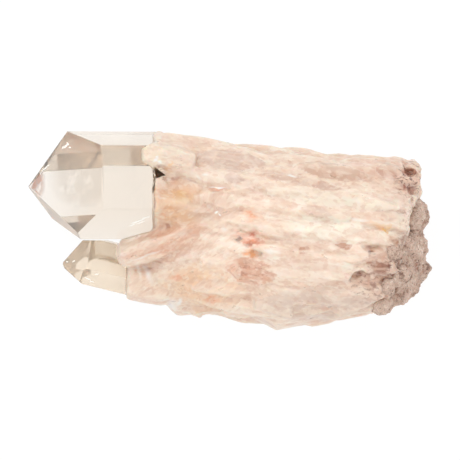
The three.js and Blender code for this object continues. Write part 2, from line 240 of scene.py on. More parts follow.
@dataclass
class MainPoint:
    """The large clear point: its axis, its six sides and the corners of its tip."""

    axis_rise: float = 10
    roll: float = 11
    axis_point: Triple = (-44, 15.05, 24)
    side_distances: tuple[float, ...] = (17.5, 17.85, 14.57, 15.5, 15.29, 18.66)
    shoulder_upper_x: float = -43.9
    shoulder_lower_x: float = -42.9
    top_corner_x: float = -56.4
    apex: Pair = (-70.9, 15.05)
    chin_x: float = -52.2
    lower_side: Pair = (-65.2, 7.2)
    rear_x: float = -63
    clear_end_x: float = -24.6
    body_starts_x: float = -25.9

    def faces(self) -> list[FacePlane]:
        """The six sides and the three faces of the tip.

        Returns:
            The sides, then the large, the lower and the upper face of the tip.
        """
        axes = CrystalAxes.from_angles(0, self.axis_rise)
        through = Vector(self.axis_point)
        sides = axes.sides(through, self.roll, self.side_distances)
        front, top, upper_rear, rear, _, bottom = sides
        top_corner = point_at_x(top, upper_rear, self.top_corner_x)
        shoulder = point_at_x(front, top, self.shoulder_upper_x)
        elbow = point_at_x(front, bottom, self.shoulder_lower_x)
        big_face = plane_through(shoulder, elbow, top_corner, through)
        apex = point_above(big_face, *self.apex)
        chin = point_at_x(big_face, bottom, self.chin_x)
        lower_side = point_above(rear, *self.lower_side)
        lower_face = plane_through(apex, chin, lower_side, through)
        back = point_at_x(upper_rear, rear, self.rear_x)
        upper_face = plane_through(apex, top_corner, back, through)
        return [*sides, big_face, lower_face, upper_face]

    def tip_face(self) -> FacePlane:
        """The large face of the tip, which follows the sides."""
        return self.faces()[len(self.side_distances)]

    def widest_y(self) -> float:
        """The largest y of the prism's outline."""
        _, top, upper_rear, *_ = self.faces()
        return point_at_x(top, upper_rear, self.top_corner_x).y


@dataclass
class SecondPoint:
    """The smaller clear point below the main one: its apex, its axis, its sides and its nose."""

    apex: Triple = (-58.6, -12.3, 17)
    axis_turn: float = -14
    axis_rise: float = 6
    roll: float = 22
    side_distances: tuple[float, ...] = (6.8, 11.6, 8.6, 7.4, 4.7, 5.2)
    nose: tuple[Triple, ...] = (
        (82, 25, 1.4),
        (60, 38, 1.8),
        (20, 50, 0),
        (-36, 56, 0.4),
        (-98, 38, 0),
        (-90, 62, 0.7),
        (150, 52, 0.5),
        (205, 48, 0),
    )
    slit_y: float = -3.95
    clear_end_x: float = -34.0
    body_starts_x: float = -35.4

    def faces(self) -> list[FacePlane]:
        """The sides, the nose's faces and the flat side along the main point.

        Returns:
            The sides, then the nose's faces, then the flat side.
        """
        axes = CrystalAxes.from_angles(self.axis_turn, self.axis_rise)
        apex = Vector(self.apex)
        planes = axes.sides(apex, self.roll, self.side_distances)
        for around, slope, offset in self.nose:
            leaning = math.radians(slope)
            normal = axes.around(around) * math.sin(leaning) + axes.tip * math.cos(leaning)
            planes.append(FacePlane(normal, offset + normal.dot(apex)))
        planes.append(FacePlane(Vector((0, 1, 0)), self.slit_y))
        return planes


def row_shift() -> Vector:
    """How far the part's own frame lies from the row frame, in millimetres.

    The main point has the piece's lowest x, at its apex, and its highest y, along its side.

    Returns:
        The shift.
    """
    low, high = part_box("crystal_cluster")
    point = MainPoint()
    return Vector((low.x / MM - point.apex[0], high.y / MM - point.widest_y(), low.z / MM))


SHIFT = row_shift()


def in_row(point: Sequence[float]) -> Vector:
    """A place in the part's own frame, in millimetres, as a place in the row frame, in metres."""
    return (Vector(point) + SHIFT) * MM


def select_only(obj: bpy.types.Object) -> None:
    """Leaves edit mode and selects one object alone.

    Args:
        obj: The object to select.
    """
    if bpy.context.object and bpy.context.object.mode != "OBJECT":
        bpy.ops.object.mode_set(mode="OBJECT")
    bpy.ops.object.select_all(action="DESELECT")
    obj.select_set(True)
    bpy.context.view_layer.objects.active = obj


def linked(name: str, data: bpy.types.ID | None) -> bpy.types.Object:
    """A new object in the scene that shows the given data, or nothing.

    Args:
        name: The object's name.
        data: What it shows.

    Returns:
        The object.
    """
    obj = bpy.data.objects.new(name, data)
    bpy.context.scene.collection.objects.link(obj)
    return obj


def join(obj: bpy.types.Object, others: Sequence[bpy.types.Object]) -> None:
    """Joins other objects into an object's mesh.

    Args:
        obj: The object that stays.
        others: The objects that go into it.
    """
    select_only(obj)
    for other in others:
        other.select_set(True)
    bpy.ops.object.join()


def smooth_in(obj: bpy.types.Object, finish: bpy.types.Material) -> None:
    """Shades an object smoothly, in one finish alone.

    Args:
        obj: The object to shade.
        finish: Its material.
    """
    obj.data.materials.clear()
    select_only(obj)
    bpy.ops.object.shade_smooth()
    obj.data.materials.append(finish)


def apply_modifier(obj: bpy.types.Object, kind: str, **settings: object) -> None:
    """Gives an object a modifier and applies it.

    Args:
        obj: The object to change.
        kind: Blender's word for the modifier.
        **settings: The modifier's settings.
    """
    select_only(obj)
    modifier = obj.modifiers.new(kind.title(), kind)
    for key, value in settings.items():
        setattr(modifier, key, value)
    bpy.ops.object.modifier_apply(modifier=modifier.name)


def remesh(obj: bpy.types.Object, voxel: float) -> None:
    """Rebuilds a mesh from even cells of so many millimetres."""
    apply_modifier(obj, "REMESH", mode="VOXEL", voxel_size=voxel * MM)


def even_out(obj: bpy.types.Object, rounds: int) -> None:
    """Evens a surface out so many times."""
    apply_modifier(obj, "SMOOTH", factor=0.5, iterations=rounds)


def cut_out(obj: bpy.types.Object, cutter: bpy.types.Object, solver: str = "EXACT") -> None:
    """Cuts one solid out of another."""
    apply_modifier(obj, "BOOLEAN", operation="DIFFERENCE", object=cutter, solver=solver)


def carved(name: str, faces: Sequence[FacePlane], around: Vector, reach: float) -> bpy.types.Object:
    """A solid cut from a block, one flat face after another.

    Args:
        name: The new object's name.
        faces: The faces, in millimetres in the part's own frame.
        around: A place near the middle of the solid, in the same frame.
        reach: How far the block reaches from there to each side.

    Returns:
        The solid, at its place in the row frame.
    """
    bpy.ops.object.select_all(action="DESELECT")
    bpy.ops.mesh.primitive_cube_add(size=2 * reach * MM, location=in_row(around))
    obj = bpy.context.object
    obj.name = name
    bpy.ops.object.transform_apply(location=True, rotation=False, scale=False)
    bpy.ops.object.mode_set(mode="EDIT")
    for face in faces:
        bpy.ops.mesh.select_all(action="SELECT")
        bpy.ops.mesh.bisect(
            plane_co=in_row(face.normal * face.distance),
            plane_no=face.normal,
            use_fill=True,
            clear_outer=True,
        )
    bpy.ops.mesh.select_all(action="SELECT")
    bpy.ops.mesh.normals_make_consistent(inside=False)
    bpy.ops.object.mode_set(mode="OBJECT")
    return obj


def copy_of_node(node: str, name: str) -> bpy.types.Object:
    """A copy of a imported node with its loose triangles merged.

    Args:
        node: The node's name.
        name: The new object's name.

    Returns:
        The copy, with a mesh of its own.
    """
    obj = linked(name, frame["nodes"][node].data.copy())
    obj.data.materials.clear()
    select_only(obj)
    bpy.ops.object.mode_set(mode="EDIT")
    bpy.ops.mesh.select_all(action="SELECT")
    bpy.ops.mesh.remove_doubles(threshold=MERGE_WITHIN * MM)
    bpy.ops.object.mode_set(mode="OBJECT")
    return obj


class Relief(Enum):
    """The kinds of relief that a surface is given."""

    CLOUDS = "CLOUDS"
    CELLS = "VORONOI"


@dataclass(frozen=True)
class Layer:
    """One layer of relief on a surface.

    It has a kind, a height from the lowest to the highest, the size of its features along each
    axis, the degrees that they are turned around +Z, a number of finer layers, and the vertex
    group that says where it applies, or nothing for everywhere.
    """

    relief: Relief
    height: float
    feature: Triple
    turn: float = 0
    depth: int = 3
    mask: str = ""


def roughen(obj: bpy.types.Object, layers: Sequence[Layer]) -> None:
    """Pushes a surface in and out along its normals by layers of procedural relief.

    Args:
        obj: The object to change.
        layers: The layers, in the order in which they are laid.
    """
    for layer in layers:
        space = linked("relief_space", None)
        space.scale = [size * MM for size in layer.feature]
        space.rotation_euler.z = math.radians(layer.turn)
        bpy.context.view_layer.update()
        texture = bpy.data.textures.new("relief", layer.relief.value)
        texture.noise_scale = 1
        if layer.relief is Relief.CLOUDS:
            texture.noise_depth = layer.depth
        apply_modifier(
            obj,
            "DISPLACE",
            texture=texture,
            texture_coords="OBJECT",
            texture_coords_object=space,
            strength=layer.height * MM,
            mid_level=0.5,
            vertex_group=layer.mask,
        )
        bpy.data.objects.remove(space)
        bpy.data.textures.remove(texture)


def swell_towards(
    obj: bpy.types.Object, other: bpy.types.Object, reach: float, swell: float
) -> None:
    """Swells a surface where it comes close to another object, so that the two are grown together.

    Args:
        obj: The object to change.
        other: The object that it grows into.
        reach: Millimetres from the other object within which it swells.
        swell: Millimetres that it swells right beside it.
    """
    near = "near"
    obj.vertex_groups.new(name=near).add(list(range(len(obj.data.vertices))), 1, "REPLACE")
    apply_modifier(
        obj,
        "VERTEX_WEIGHT_PROXIMITY",
        vertex_group=near,
        target=other,
        proximity_mode="GEOMETRY",
        proximity_geometry={"FACE"},
        min_dist=reach * MM,
        max_dist=0,
    )
    apply_modifier(obj, "DISPLACE", strength=swell * MM, mid_level=0, vertex_group=near)
    obj.vertex_groups.clear()


def note_group(obj: bpy.types.Object, name: str, weights: np.ndarray) -> None:
    """Notes a weight on each vertex, in steps of a twentieth.

    Args:
        obj: The object to note them on.
        name: The vertex group's name.
        weights: A weight from 0 to 1 for each vertex.
    """
    steps = 20
    levels = np.round(weights * steps).astype(int)
    group = obj.vertex_groups.new(name=name)
    for level in range(1, steps + 1):
        chosen = np.flatnonzero(levels == level)
        group.add(chosen.tolist(), level / steps, "REPLACE")


def keep_highest_part(obj: bpy.types.Object) -> None:
    """Deletes all loose parts of a mesh but the one that reaches highest.

    Args:
        obj: The object to change.
    """
    top = int(np.argmax(mesh_arrays(obj)[0][:, 2]))
    select_only(obj)
    bpy.ops.object.mode_set(mode="EDIT")
    bpy.ops.mesh.select_mode(type="VERT")
    bpy.ops.mesh.select_all(action="DESELECT")
    bpy.ops.object.mode_set(mode="OBJECT")
    obj.data.vertices[top].select = True
    bpy.ops.object.mode_set(mode="EDIT")
    bpy.ops.mesh.select_linked()
    bpy.ops.mesh.select_all(action="INVERT")
    bpy.ops.mesh.delete(type="VERT")
    bpy.ops.object.mode_set(mode="OBJECT")


def mesh_arrays(obj: bpy.types.Object) -> tuple[np.ndarray, np.ndarray, np.ndarray]:
    """A mesh's vertices, vertex normals and edges as arrays.

    Args:
        obj: The object to read.

    Returns:
        The places, the normals, and the two vertices of each edge, a row for each.
    """
    mesh = obj.data
    places = np.zeros(len(mesh.vertices) * 3)
    mesh.vertices.foreach_get("co", places)
    normals = np.zeros(len(mesh.vertices) * 3)
    mesh.vertices.foreach_get("normal", normals)
    edges = np.zeros(len(mesh.edges) * 2, dtype=np.int64)
    mesh.edges.foreach_get("vertices", edges)
    return places.reshape(-1, 3), normals.reshape(-1, 3), edges.reshape(-1, 2)


def neighbour_mean(values: np.ndarray, edges: np.ndarray) -> np.ndarray:
    """The mean of each vertex's neighbours, for one row of values per vertex.

    Args:
        values: A row of values for each vertex.
        edges: The two vertices of each edge.

    Returns:
        A row of means for each vertex.
    """
    count = len(values)
    neighbours = np.bincount(edges.ravel(), minlength=count)[:, None]
    total = np.zeros_like(values)
    for axis in range(values.shape[1]):
        total[:, axis] += np.bincount(edges[:, 0], values[edges[:, 1], axis], count)
        total[:, axis] += np.bincount(edges[:, 1], values[edges[:, 0], axis], count)
    return total / np.maximum(neighbours, 1)


def note_hollows(obj: bpy.types.Object, name: str = "hollow", rounds: int = 40) -> None:
    """Notes on each vertex how deep it lies in a hollow, in millimetres, below zero on a ridge.

    Args:
        obj: The object to measure.
        name: The name of the attribute that holds the depths.
        rounds: How many times the surface is evened out to find what is a hollow.
    """
    places, normals, edges = mesh_arrays(obj)
    even = places.copy()
    for _ in range(rounds):
        even = neighbour_mean(even, edges)
    depths = ((even - places) * normals).sum(axis=1) / MM
    attribute = obj.data.attributes.new(name, "FLOAT", "POINT")
    attribute.data.foreach_set("value", depths.astype(np.float32))


def even_folds(obj: bpy.types.Object, limit: float = 0.55, spread: int = 3, rounds: int = 16) -> None:
    """Evens out the spots where a surface folds over itself.

    Args:
        obj: The object to change.
        limit: How far a normal may lean from its surroundings, as a cosine, before it is a fold.
        spread: How many rings of neighbours are evened out with a fold.
        rounds: How many times the spots are evened out.
    """
    _, normals, edges = mesh_arrays(obj)
    around = normals.copy()
    for _ in range(2 * spread):
        around = neighbour_mean(around, edges)
    around /= np.maximum(np.linalg.norm(around, axis=1, keepdims=True), 1e-9)
    folded = ((normals * around).sum(axis=1, keepdims=True) < limit).astype(float)
    for _ in range(spread):
        folded = (np.maximum(folded, neighbour_mean(folded, edges)) > 0).astype(float)
    note_group(obj, "folded", folded[:, 0])
    apply_modifier(obj, "SMOOTH", factor=0.6, iterations=rounds, vertex_group="folded")
    obj.vertex_groups.clear()


@dataclass(frozen=True)
class Grain:
    """Noise in a finish: the size of its features, how fine, rough and bent it is, and its place."""

    size: Triple
    detail: float
    roughness: float
    distortion: float = 0
    turn: float = 0
    at: Triple = (0, 0, 0)


class Recipe:
    """A material's node tree, put together one step at a time."""

    def __init__(self, name: str) -> None:
        """Starts a material with a plain shader.

        Args:
            name: The material's name.
        """
        self.material = bpy.data.materials.new(name)
        self.material.use_nodes = True
        self.tree = self.material.node_tree
        self.shader = self.tree.nodes["Principled BSDF"]

    def node(self, kind: str, **settings: object) -> bpy.types.Node:
        """Adds a node.

        Args:
            kind: Blender's word for the node.
            **settings: The node's settings.

        Returns:
            The node.
        """
        made = self.tree.nodes.new(kind)
        for key, value in settings.items():
            setattr(made, key, value)
        return made

    def feed(self, target: Socket, value: object) -> None:
        """Links a socket, or sets a plain value, to an input.

        Args:
            target: The input.
            value: The socket to link, or the value to set.
        """
        if isinstance(value, Socket):
            self.tree.links.new(value, target)
        else:
            target.default_value = value

    def place(self) -> Socket:
        """The place on the piece, in millimetres in the row frame.

        Returns:
            The place.
        """
        coordinates = self.node("ShaderNodeTexCoord")
        scaled = self.node("ShaderNodeVectorMath", operation="SCALE")
        self.feed(scaled.inputs[0], coordinates.outputs["Object"])
        scaled.inputs["Scale"].default_value = 1 / MM
        return scaled.outputs[0]

    def placed(
        self, vector: Socket, at: Sequence[float], turn: float, size: Sequence[float]
    ) -> Socket:
        """A place as seen from a centre, turned and measured in steps of a size.

        Args:
            vector: The place.
            at: The centre.
            turn: Degrees that the steps are turned around +Z.
            size: The step along each axis.

        Returns:
            The place in those steps.
        """
        mapping = self.node("ShaderNodeMapping", vector_type="TEXTURE")
        self.feed(mapping.inputs["Vector"], vector)
        mapping.inputs["Location"].default_value = at
        mapping.inputs["Rotation"].default_value = (0, 0, math.radians(turn))
        mapping.inputs["Scale"].default_value = size
        return mapping.outputs["Vector"]

    def settle(self, values: dict[str, object]) -> None:
        """Sets plain values on the shader's own sockets."""
        for name, value in values.items():
            self.shader.inputs[name].default_value = value

    def noise(self, place: Socket, grain: Grain) -> bpy.types.Node:
        """Noise over a place, as a grain says.

        Args:
            place: The place.
            grain: The noise's size and kind.

        Returns:
            The noise.
        """
        made = self.node("ShaderNodeTexNoise")
        self.feed(made.inputs["Vector"], self.placed(place, grain.at, grain.turn, grain.size))
        made.inputs["Scale"].default_value = 1
        made.inputs["Detail"].default_value = grain.detail
        made.inputs["Roughness"].default_value = grain.roughness
        made.inputs["Distortion"].default_value = grain.distortion
        return made

    def level(self, place: Socket, grain: Grain) -> Socket:
        """The height of a noise over a place, from 0 to 1."""
        return self.noise(place, grain).outputs["Fac"]

    def attribute(self, name: str, output: str = "Fac") -> Socket:
        """What the piece's mesh notes under a name."""
        return self.node("ShaderNodeAttribute", attribute_name=name).outputs[output]

    def remap(self, value: Socket, low: float, high: float) -> Socket:
        """A value as a share that goes smoothly from 0 to 1 between two ends.

        Args:
            value: The value.
            low: The end that becomes 0.
            high: The end that becomes 1, which may be the lower one.

        Returns:
            The share.
        """
        made = self.node("ShaderNodeMapRange", interpolation_type="SMOOTHSTEP")
        self.feed(made.inputs["Value"], value)
        made.inputs["From Min"].default_value = low
        made.inputs["From Max"].default_value = high
        return made.outputs["Result"]

    def math(self, operation: str, first: object, second: object) -> Socket:
        """Two values put through a mathematical operation.

        Args:
            operation: Blender's word for the operation.
            first: A value or a socket.
            second: A value or a socket.

        Returns:
            The outcome.
        """
        made = self.node("ShaderNodeMath", operation=operation)
        self.feed(made.inputs[0], first)
        self.feed(made.inputs[1], second)
        return made.outputs[0]

    def times(self, first: object, second: object) -> Socket:
        """Two values multiplied."""
        return self.math("MULTIPLY", first, second)

    def plus(self, first: object, second: object) -> Socket:
        """Two values added up."""
        return self.math("ADD", first, second)

    def weighed(self, values: Sequence[Socket], weights: Sequence[float]) -> Socket:
        """The sum of some values, each multiplied by its weight.

        Args:
            values: The values.
            weights: The weight of each.

        Returns:
            The sum.
        """
        total, *others = [self.times(value, weight) for value, weight in zip(values, weights)]
        for other in others:
            total = self.plus(total, other)
        return total

    def mix(self, share: object, first: object, second: object) -> Socket:
        """Two colours mixed by a share.

        Args:
            share: How much of the second colour there is, from 0 to 1.
            first: The first colour.
            second: The second colour.

        Returns:
            The mixed colour.
        """
        made = self.node("ShaderNodeMix", data_type="RGBA", clamp_factor=True)
        self.feed(made.inputs[0], share)
        self.feed(made.inputs[6], first)
        self.feed(made.inputs[7], second)
        return made.outputs[2]

    def inside(self, place: Socket, at: Triple, half: Triple, turn: float, edge: Pair) -> Socket:
        """How far a place lies inside an ellipsoid.

        Args:
            place: The place.
            at: The ellipsoid's middle, in the part's own frame.
            half: Its half size along each axis.
            turn: Degrees that it is turned around +Z.
            edge: Where it begins and where it is whole, as shares of its half size.

        Returns:
            A share from 0 to 1.
        """
        length = self.node("ShaderNodeVectorMath", operation="LENGTH")
        self.feed(length.inputs[0], self.placed(place, Vector(at) + SHIFT, turn, half))
        return self.remap(length.outputs["Value"], *edge)

    def bent(self, place: Socket, by: Socket, reach: Triple) -> Socket:
        """A place moved by a vector that is stretched along each axis.

        Args:
            place: The place.
            by: The vector.
            reach: How far it is stretched along each axis.

        Returns:
            The moved place.
        """
        moved = self.node("ShaderNodeVectorMath", operation="MULTIPLY_ADD")
        self.feed(moved.inputs[0], by)
        moved.inputs[1].default_value = reach
        self.feed(moved.inputs[2], place)
        return moved.outputs[0]

    def facets(self, vector: Socket) -> tuple[Socket, Socket]:
        """Flat facets, each tilted its own way, about one step of the given place in size.

        Args:
            vector: The place, in steps.

        Returns:
            The facets' height in steps and their random colour.
        """
        cells = self.node("ShaderNodeTexVoronoi", feature="F1")
        self.feed(cells.inputs["Vector"], vector)
        cells.inputs["Scale"].default_value = 1
        offset = self.node("ShaderNodeVectorMath", operation="SUBTRACT")
        self.feed(offset.inputs[0], vector)
        self.feed(offset.inputs[1], cells.outputs["Position"])
        tilt = self.node("ShaderNodeVectorMath", operation="SUBTRACT")
        self.feed(tilt.inputs[0], cells.outputs["Color"])
        tilt.inputs[1].default_value = (0.5, 0.5, 0.5)
        height = self.node("ShaderNodeVectorMath", operation="DOT_PRODUCT")
        self.feed(height.inputs[0], offset.outputs[0])
        self.feed(height.inputs[1], tilt.outputs[0])
        return height.outputs["Value"], cells.outputs["Color"]

    def bump(
        self, height: object, rise: float, strength: float, below: Socket | None = None
    ) -> Socket:
        """A bump from a height.

        Args:
            height: The height from 0 to 1.
            rise: Millimetres that a height of 1 stands for.
            strength: The bump's strength.
            below: The normal to start from, or nothing for the surface's own.

        Returns:
            The new normal.
        """
        made = self.node("ShaderNodeBump")
        made.inputs["Strength"].default_value = strength
        made.inputs["Distance"].default_value = rise * MM
        self.feed(made.inputs["Height"], height)
        if below is not None:
            self.feed(made.inputs["Normal"], below)
        return made.outputs["Normal"]


@dataclass(frozen=True)
class Patch:
    """A place on the piece with a colour of its own: its centre, its half size and its turn."""

    at: Triple
    half: Triple
    turn: float
    colour: Colour
    strength: float = 0.8
    soft: float = 0.5
    spill: float = 0.5

    def share(self, recipe: Recipe, place: Socket) -> Socket:
        """How much of a place the patch covers, from 0 to 1.

        Args:
            recipe: The recipe to add to.
            place: The place, in the row frame.

        Returns:
            The share.
        """
        edge = (1 + self.soft * self.spill, 1 - self.soft)
        return recipe.inside(place, self.at, self.half, self.turn, edge)


# The white of the painted glints and of the white chip.
WHITE = (255, 252, 247)
# The height of a patch on the upper side, and how far it reaches up and down from there.
TOP = 34.0
DEEP = 26.0


def on_top(
    x: float,
    y: float,
    length: float,
    width: float,
    turn: float,
    colour: Colour,
    strength: float = 0.8,
    soft: float = 0.5,
) -> Patch:
    """A patch on the upper side of the bundle.

    Args:
        x: Its middle along the bundle.
        y: Its middle across the bundle.
        length: Its half length.
        width: Its half width.
        turn: Degrees that it is turned around +Z.
        colour: Its colour as it looks.
        strength: How much of the colour it takes.
        soft: How soft its edge is, from 0 to 1.

    Returns:
        The patch.
    """
    return Patch((x, y, TOP), (length, width, DEEP), turn, colour, strength, soft)


GRAINY_PATCHES = (
    on_top(63, 17, 6.5, 8.0, 0, (128, 74, 54), 0.85, 0.5),
    on_top(61.5, 18.4, 3.0, 4.5, 0, (112, 56, 42), 0.7, 0.5),
    on_top(58.5, -13, 6.0, 10, 0, (118, 72, 58), 0.85, 0.5),
    on_top(49, -18, 10, 8, 0, (142, 92, 74), 0.7, 0.6),
    on_top(62, 2, 5, 8, 0, (160, 118, 98), 0.5, 0.5),
    on_top(7.6, -3.4, 5.0, 2.8, 0, (208, 92, 56), 0.6, 0.5),
    on_top(8, -14.4, 8.0, 4.4, -12, (170, 104, 80), 0.5, 0.5),
    on_top(-24, 19, 3.0, 4.0, 0, (150, 84, 56), 0.6, 0.6),
)

# Colour patches on the bundle. Most are the quartz's own colour, and a few are painted shade, marked
# below.
BODY_PATCHES = (
    # Painted shade: the inside of the gap at the main point's base, near black.
    Patch((-24.6, 18.2, 27), (3.4, 4.6, 10), 0, (52, 30, 22), 0.97, 0.3),
    on_top(35, 10.2, 24, 3.0, -7, (252, 238, 221), 0.7, 0.6),
    on_top(-5, 17.8, 16, 2.6, -14, (250, 234, 219), 0.6, 0.6),
    on_top(31.7, 0.9, 13.5, 3.6, -3, (254, 243, 226), 0.8, 0.6),
    on_top(26, 16, 15, 1.8, -13, (216, 184, 165), 0.7, 0.4),
    on_top(7.4, -14.4, 9.0, 4.2, -14, (222, 170, 142), 0.8, 0.4),
    on_top(59, 8, 7.6, 4.8, -10, (243, 223, 209), 0.8, 0.4),
    on_top(-17.5, 8.0, 10.5, 8.2, 0, (232, 184, 140), 0.95, 0.45),
    on_top(-16.0, 10.8, 2.8, 2.6, 0, (234, 194, 132), 0.8, 0.7),
    on_top(-20.4, 21.4, 1.3, 1.5, 0, (238, 178, 92), 0.8, 0.7),
    on_top(-24.4, 11.6, 2.2, 3.4, 0, (230, 166, 112), 0.8, 0.7),
    on_top(-9.6, 6.6, 5.0, 5.4, -20, (222, 190, 170), 0.6, 0.5),
    on_top(-26.4, 23.2, 4.6, 9.0, -10, (247, 228, 204), 0.8, 0.5),
    on_top(-22.8, -4.8, 15.5, 6.0, 16, (226, 174, 145), 0.85, 0.5),
    # Painted shade: a brown strip below the red crystal's bright edge.
    on_top(-20.0, -9.4, 7.0, 1.6, 14, (200, 150, 124), 0.6, 0.6),
    on_top(-30.6, -13.6, 4.8, 5.0, 0, (226, 192, 168), 0.7, 0.6),
    on_top(-9.6, -20.2, 15.0, 8.6, 0, (242, 205, 170), 0.85, 0.6),
    on_top(31.8, -26.6, 20, 6.4, 0, (216, 192, 177), 0.8, 0.4),
    on_top(34.8, -23.0, 5, 4.4, 10, (206, 192, 172), 0.5, 0.7),
    on_top(25.2, -8.4, 7.4, 4.4, -4, (222, 186, 164), 0.55, 0.7),
    on_top(28, -14.3, 14, 3.0, -4, (226, 196, 176), 0.5, 0.6),
    # Painted shadow: two thin dark lines under the ridge where the cream band overhangs the lower
    # lobe.
    on_top(17, -19.7, 9, 0.7, -6, (204, 168, 148), 0.6, 0.7),
    on_top(35.5, -18.5, 10.5, 0.7, 9, (198, 166, 148), 0.6, 0.7),
    on_top(54, -16, 13, 9.4, 0, (192, 144, 122), 0.85, 0.6),
    on_top(59.8, -9, 3.4, 8.6, 0, (140, 84, 62), 0.9, 0.5),
    on_top(52, 20.6, 12, 4.6, -8, (224, 180, 157), 0.6, 0.5),
    on_top(62.5, 17, 5.4, 7, 0, (206, 152, 128), 0.7, 0.5),
    on_top(7.2, 4.2, 4.8, 3.0, 0, (242, 192, 160), 0.7, 0.7),
    on_top(7.2, 4.0, 1.9, 2.2, 0, (240, 160, 106), 0.9, 0.6),
    on_top(7.6, -3.4, 5.4, 3.0, -10, (238, 150, 106), 0.9, 0.6),
    on_top(3.6, -3.6, 1.6, 0.9, 10, (74, 36, 34), 0.9, 0.6),
    on_top(7.4, -8.6, 2.6, 2.0, -20, (246, 172, 112), 0.85, 0.6),
    on_top(-6.2, -24.2, 2.8, 2.0, 0, (236, 156, 112), 0.65, 0.9),
    on_top(-18.2, -17.2, 2.2, 1.5, 0, (236, 160, 114), 0.8, 0.8),
    on_top(-4.0, 13.4, 3.8, 0.4, 0, (232, 138, 92), 0.85, 0.5),
    on_top(50.2, 1.6, 3.8, 1.6, -24, (240, 176, 116), 0.85, 0.6),
    on_top(54.0, 0.2, 1.6, 2.0, 30, (240, 188, 106), 0.9, 0.5),
    on_top(61.8, 20, 3.0, 2.2, 0, (168, 96, 72), 0.7, 0.5),
    on_top(61.5, 14.6, 3.8, 2.0, -12, (152, 80, 58), 0.8, 0.5),
    on_top(47.6, -8.6, 1.8, 1.0, 30, (110, 62, 50), 0.9, 0.5),
    on_top(59.2, -12.6, 1.2, 2.8, -30, (92, 54, 56), 0.9, 0.5),
    on_top(57.0, -10.6, 1.4, 1.0, 0, (176, 166, 150), 0.6, 0.6),
)

# Mostly painted highlights: white glints where the surface catches the light, on the stub, along the
# red crystal's edge, at the lump by the gap and on the ridges. The marks at the bottom, near x -19
# and y -26, are a white chip.
PAINTED_GLINTS_AND_CHIP = (
    on_top(-31.4, -14.7, 3.2, 0.7, -78, WHITE, 0.6, 0.9),
    on_top(-28.4, -15.4, 3.8, 1.1, -68, WHITE, 0.7, 0.9),
    on_top(-20.1, -26.9, 2.8, 2.2, 35, WHITE, 0.9, 0.8),
    on_top(-17.4, -25.4, 1.6, 0.9, 60, WHITE, 0.8, 0.8),
    on_top(-28.8, -9.3, 7.2, 0.45, 20, WHITE, 0.5, 0.8),
    on_top(-25.4, 23.6, 1.3, 0.6, 40, WHITE, 0.9, 0.7),
    on_top(-23.9, 23.0, 0.9, 0.5, -30, WHITE, 0.9, 0.7),
    on_top(-24.8, 24.8, 0.6, 0.4, 0, WHITE, 0.9, 0.7),
    on_top(-4.5, 5.7, 0.9, 0.4, 35, WHITE, 0.95, 0.7),
    on_top(-3.5, 4.9, 0.6, 0.35, -40, WHITE, 0.9, 0.7),
    on_top(-8.2, 18.8, 1.3, 0.5, 10, WHITE, 0.7, 0.8),
    on_top(-10.6, 17.6, 1.8, 0.5, -40, WHITE, 0.5, 0.9),
    on_top(-4.0, 14.1, 3.2, 0.3, -4, WHITE, 0.7, 0.6),
    on_top(-1.8, -0.4, 1.6, 1.0, 20, WHITE, 0.45, 0.9),
    on_top(21.2, 18.2, 1.8, 0.4, -10, WHITE, 0.8, 0.6),
    on_top(14, -7.6, 2.4, 0.8, -10, WHITE, 0.5, 0.6),
    on_top(44, 3.2, 3.4, 0.6, -8, WHITE, 0.5, 0.6),
)


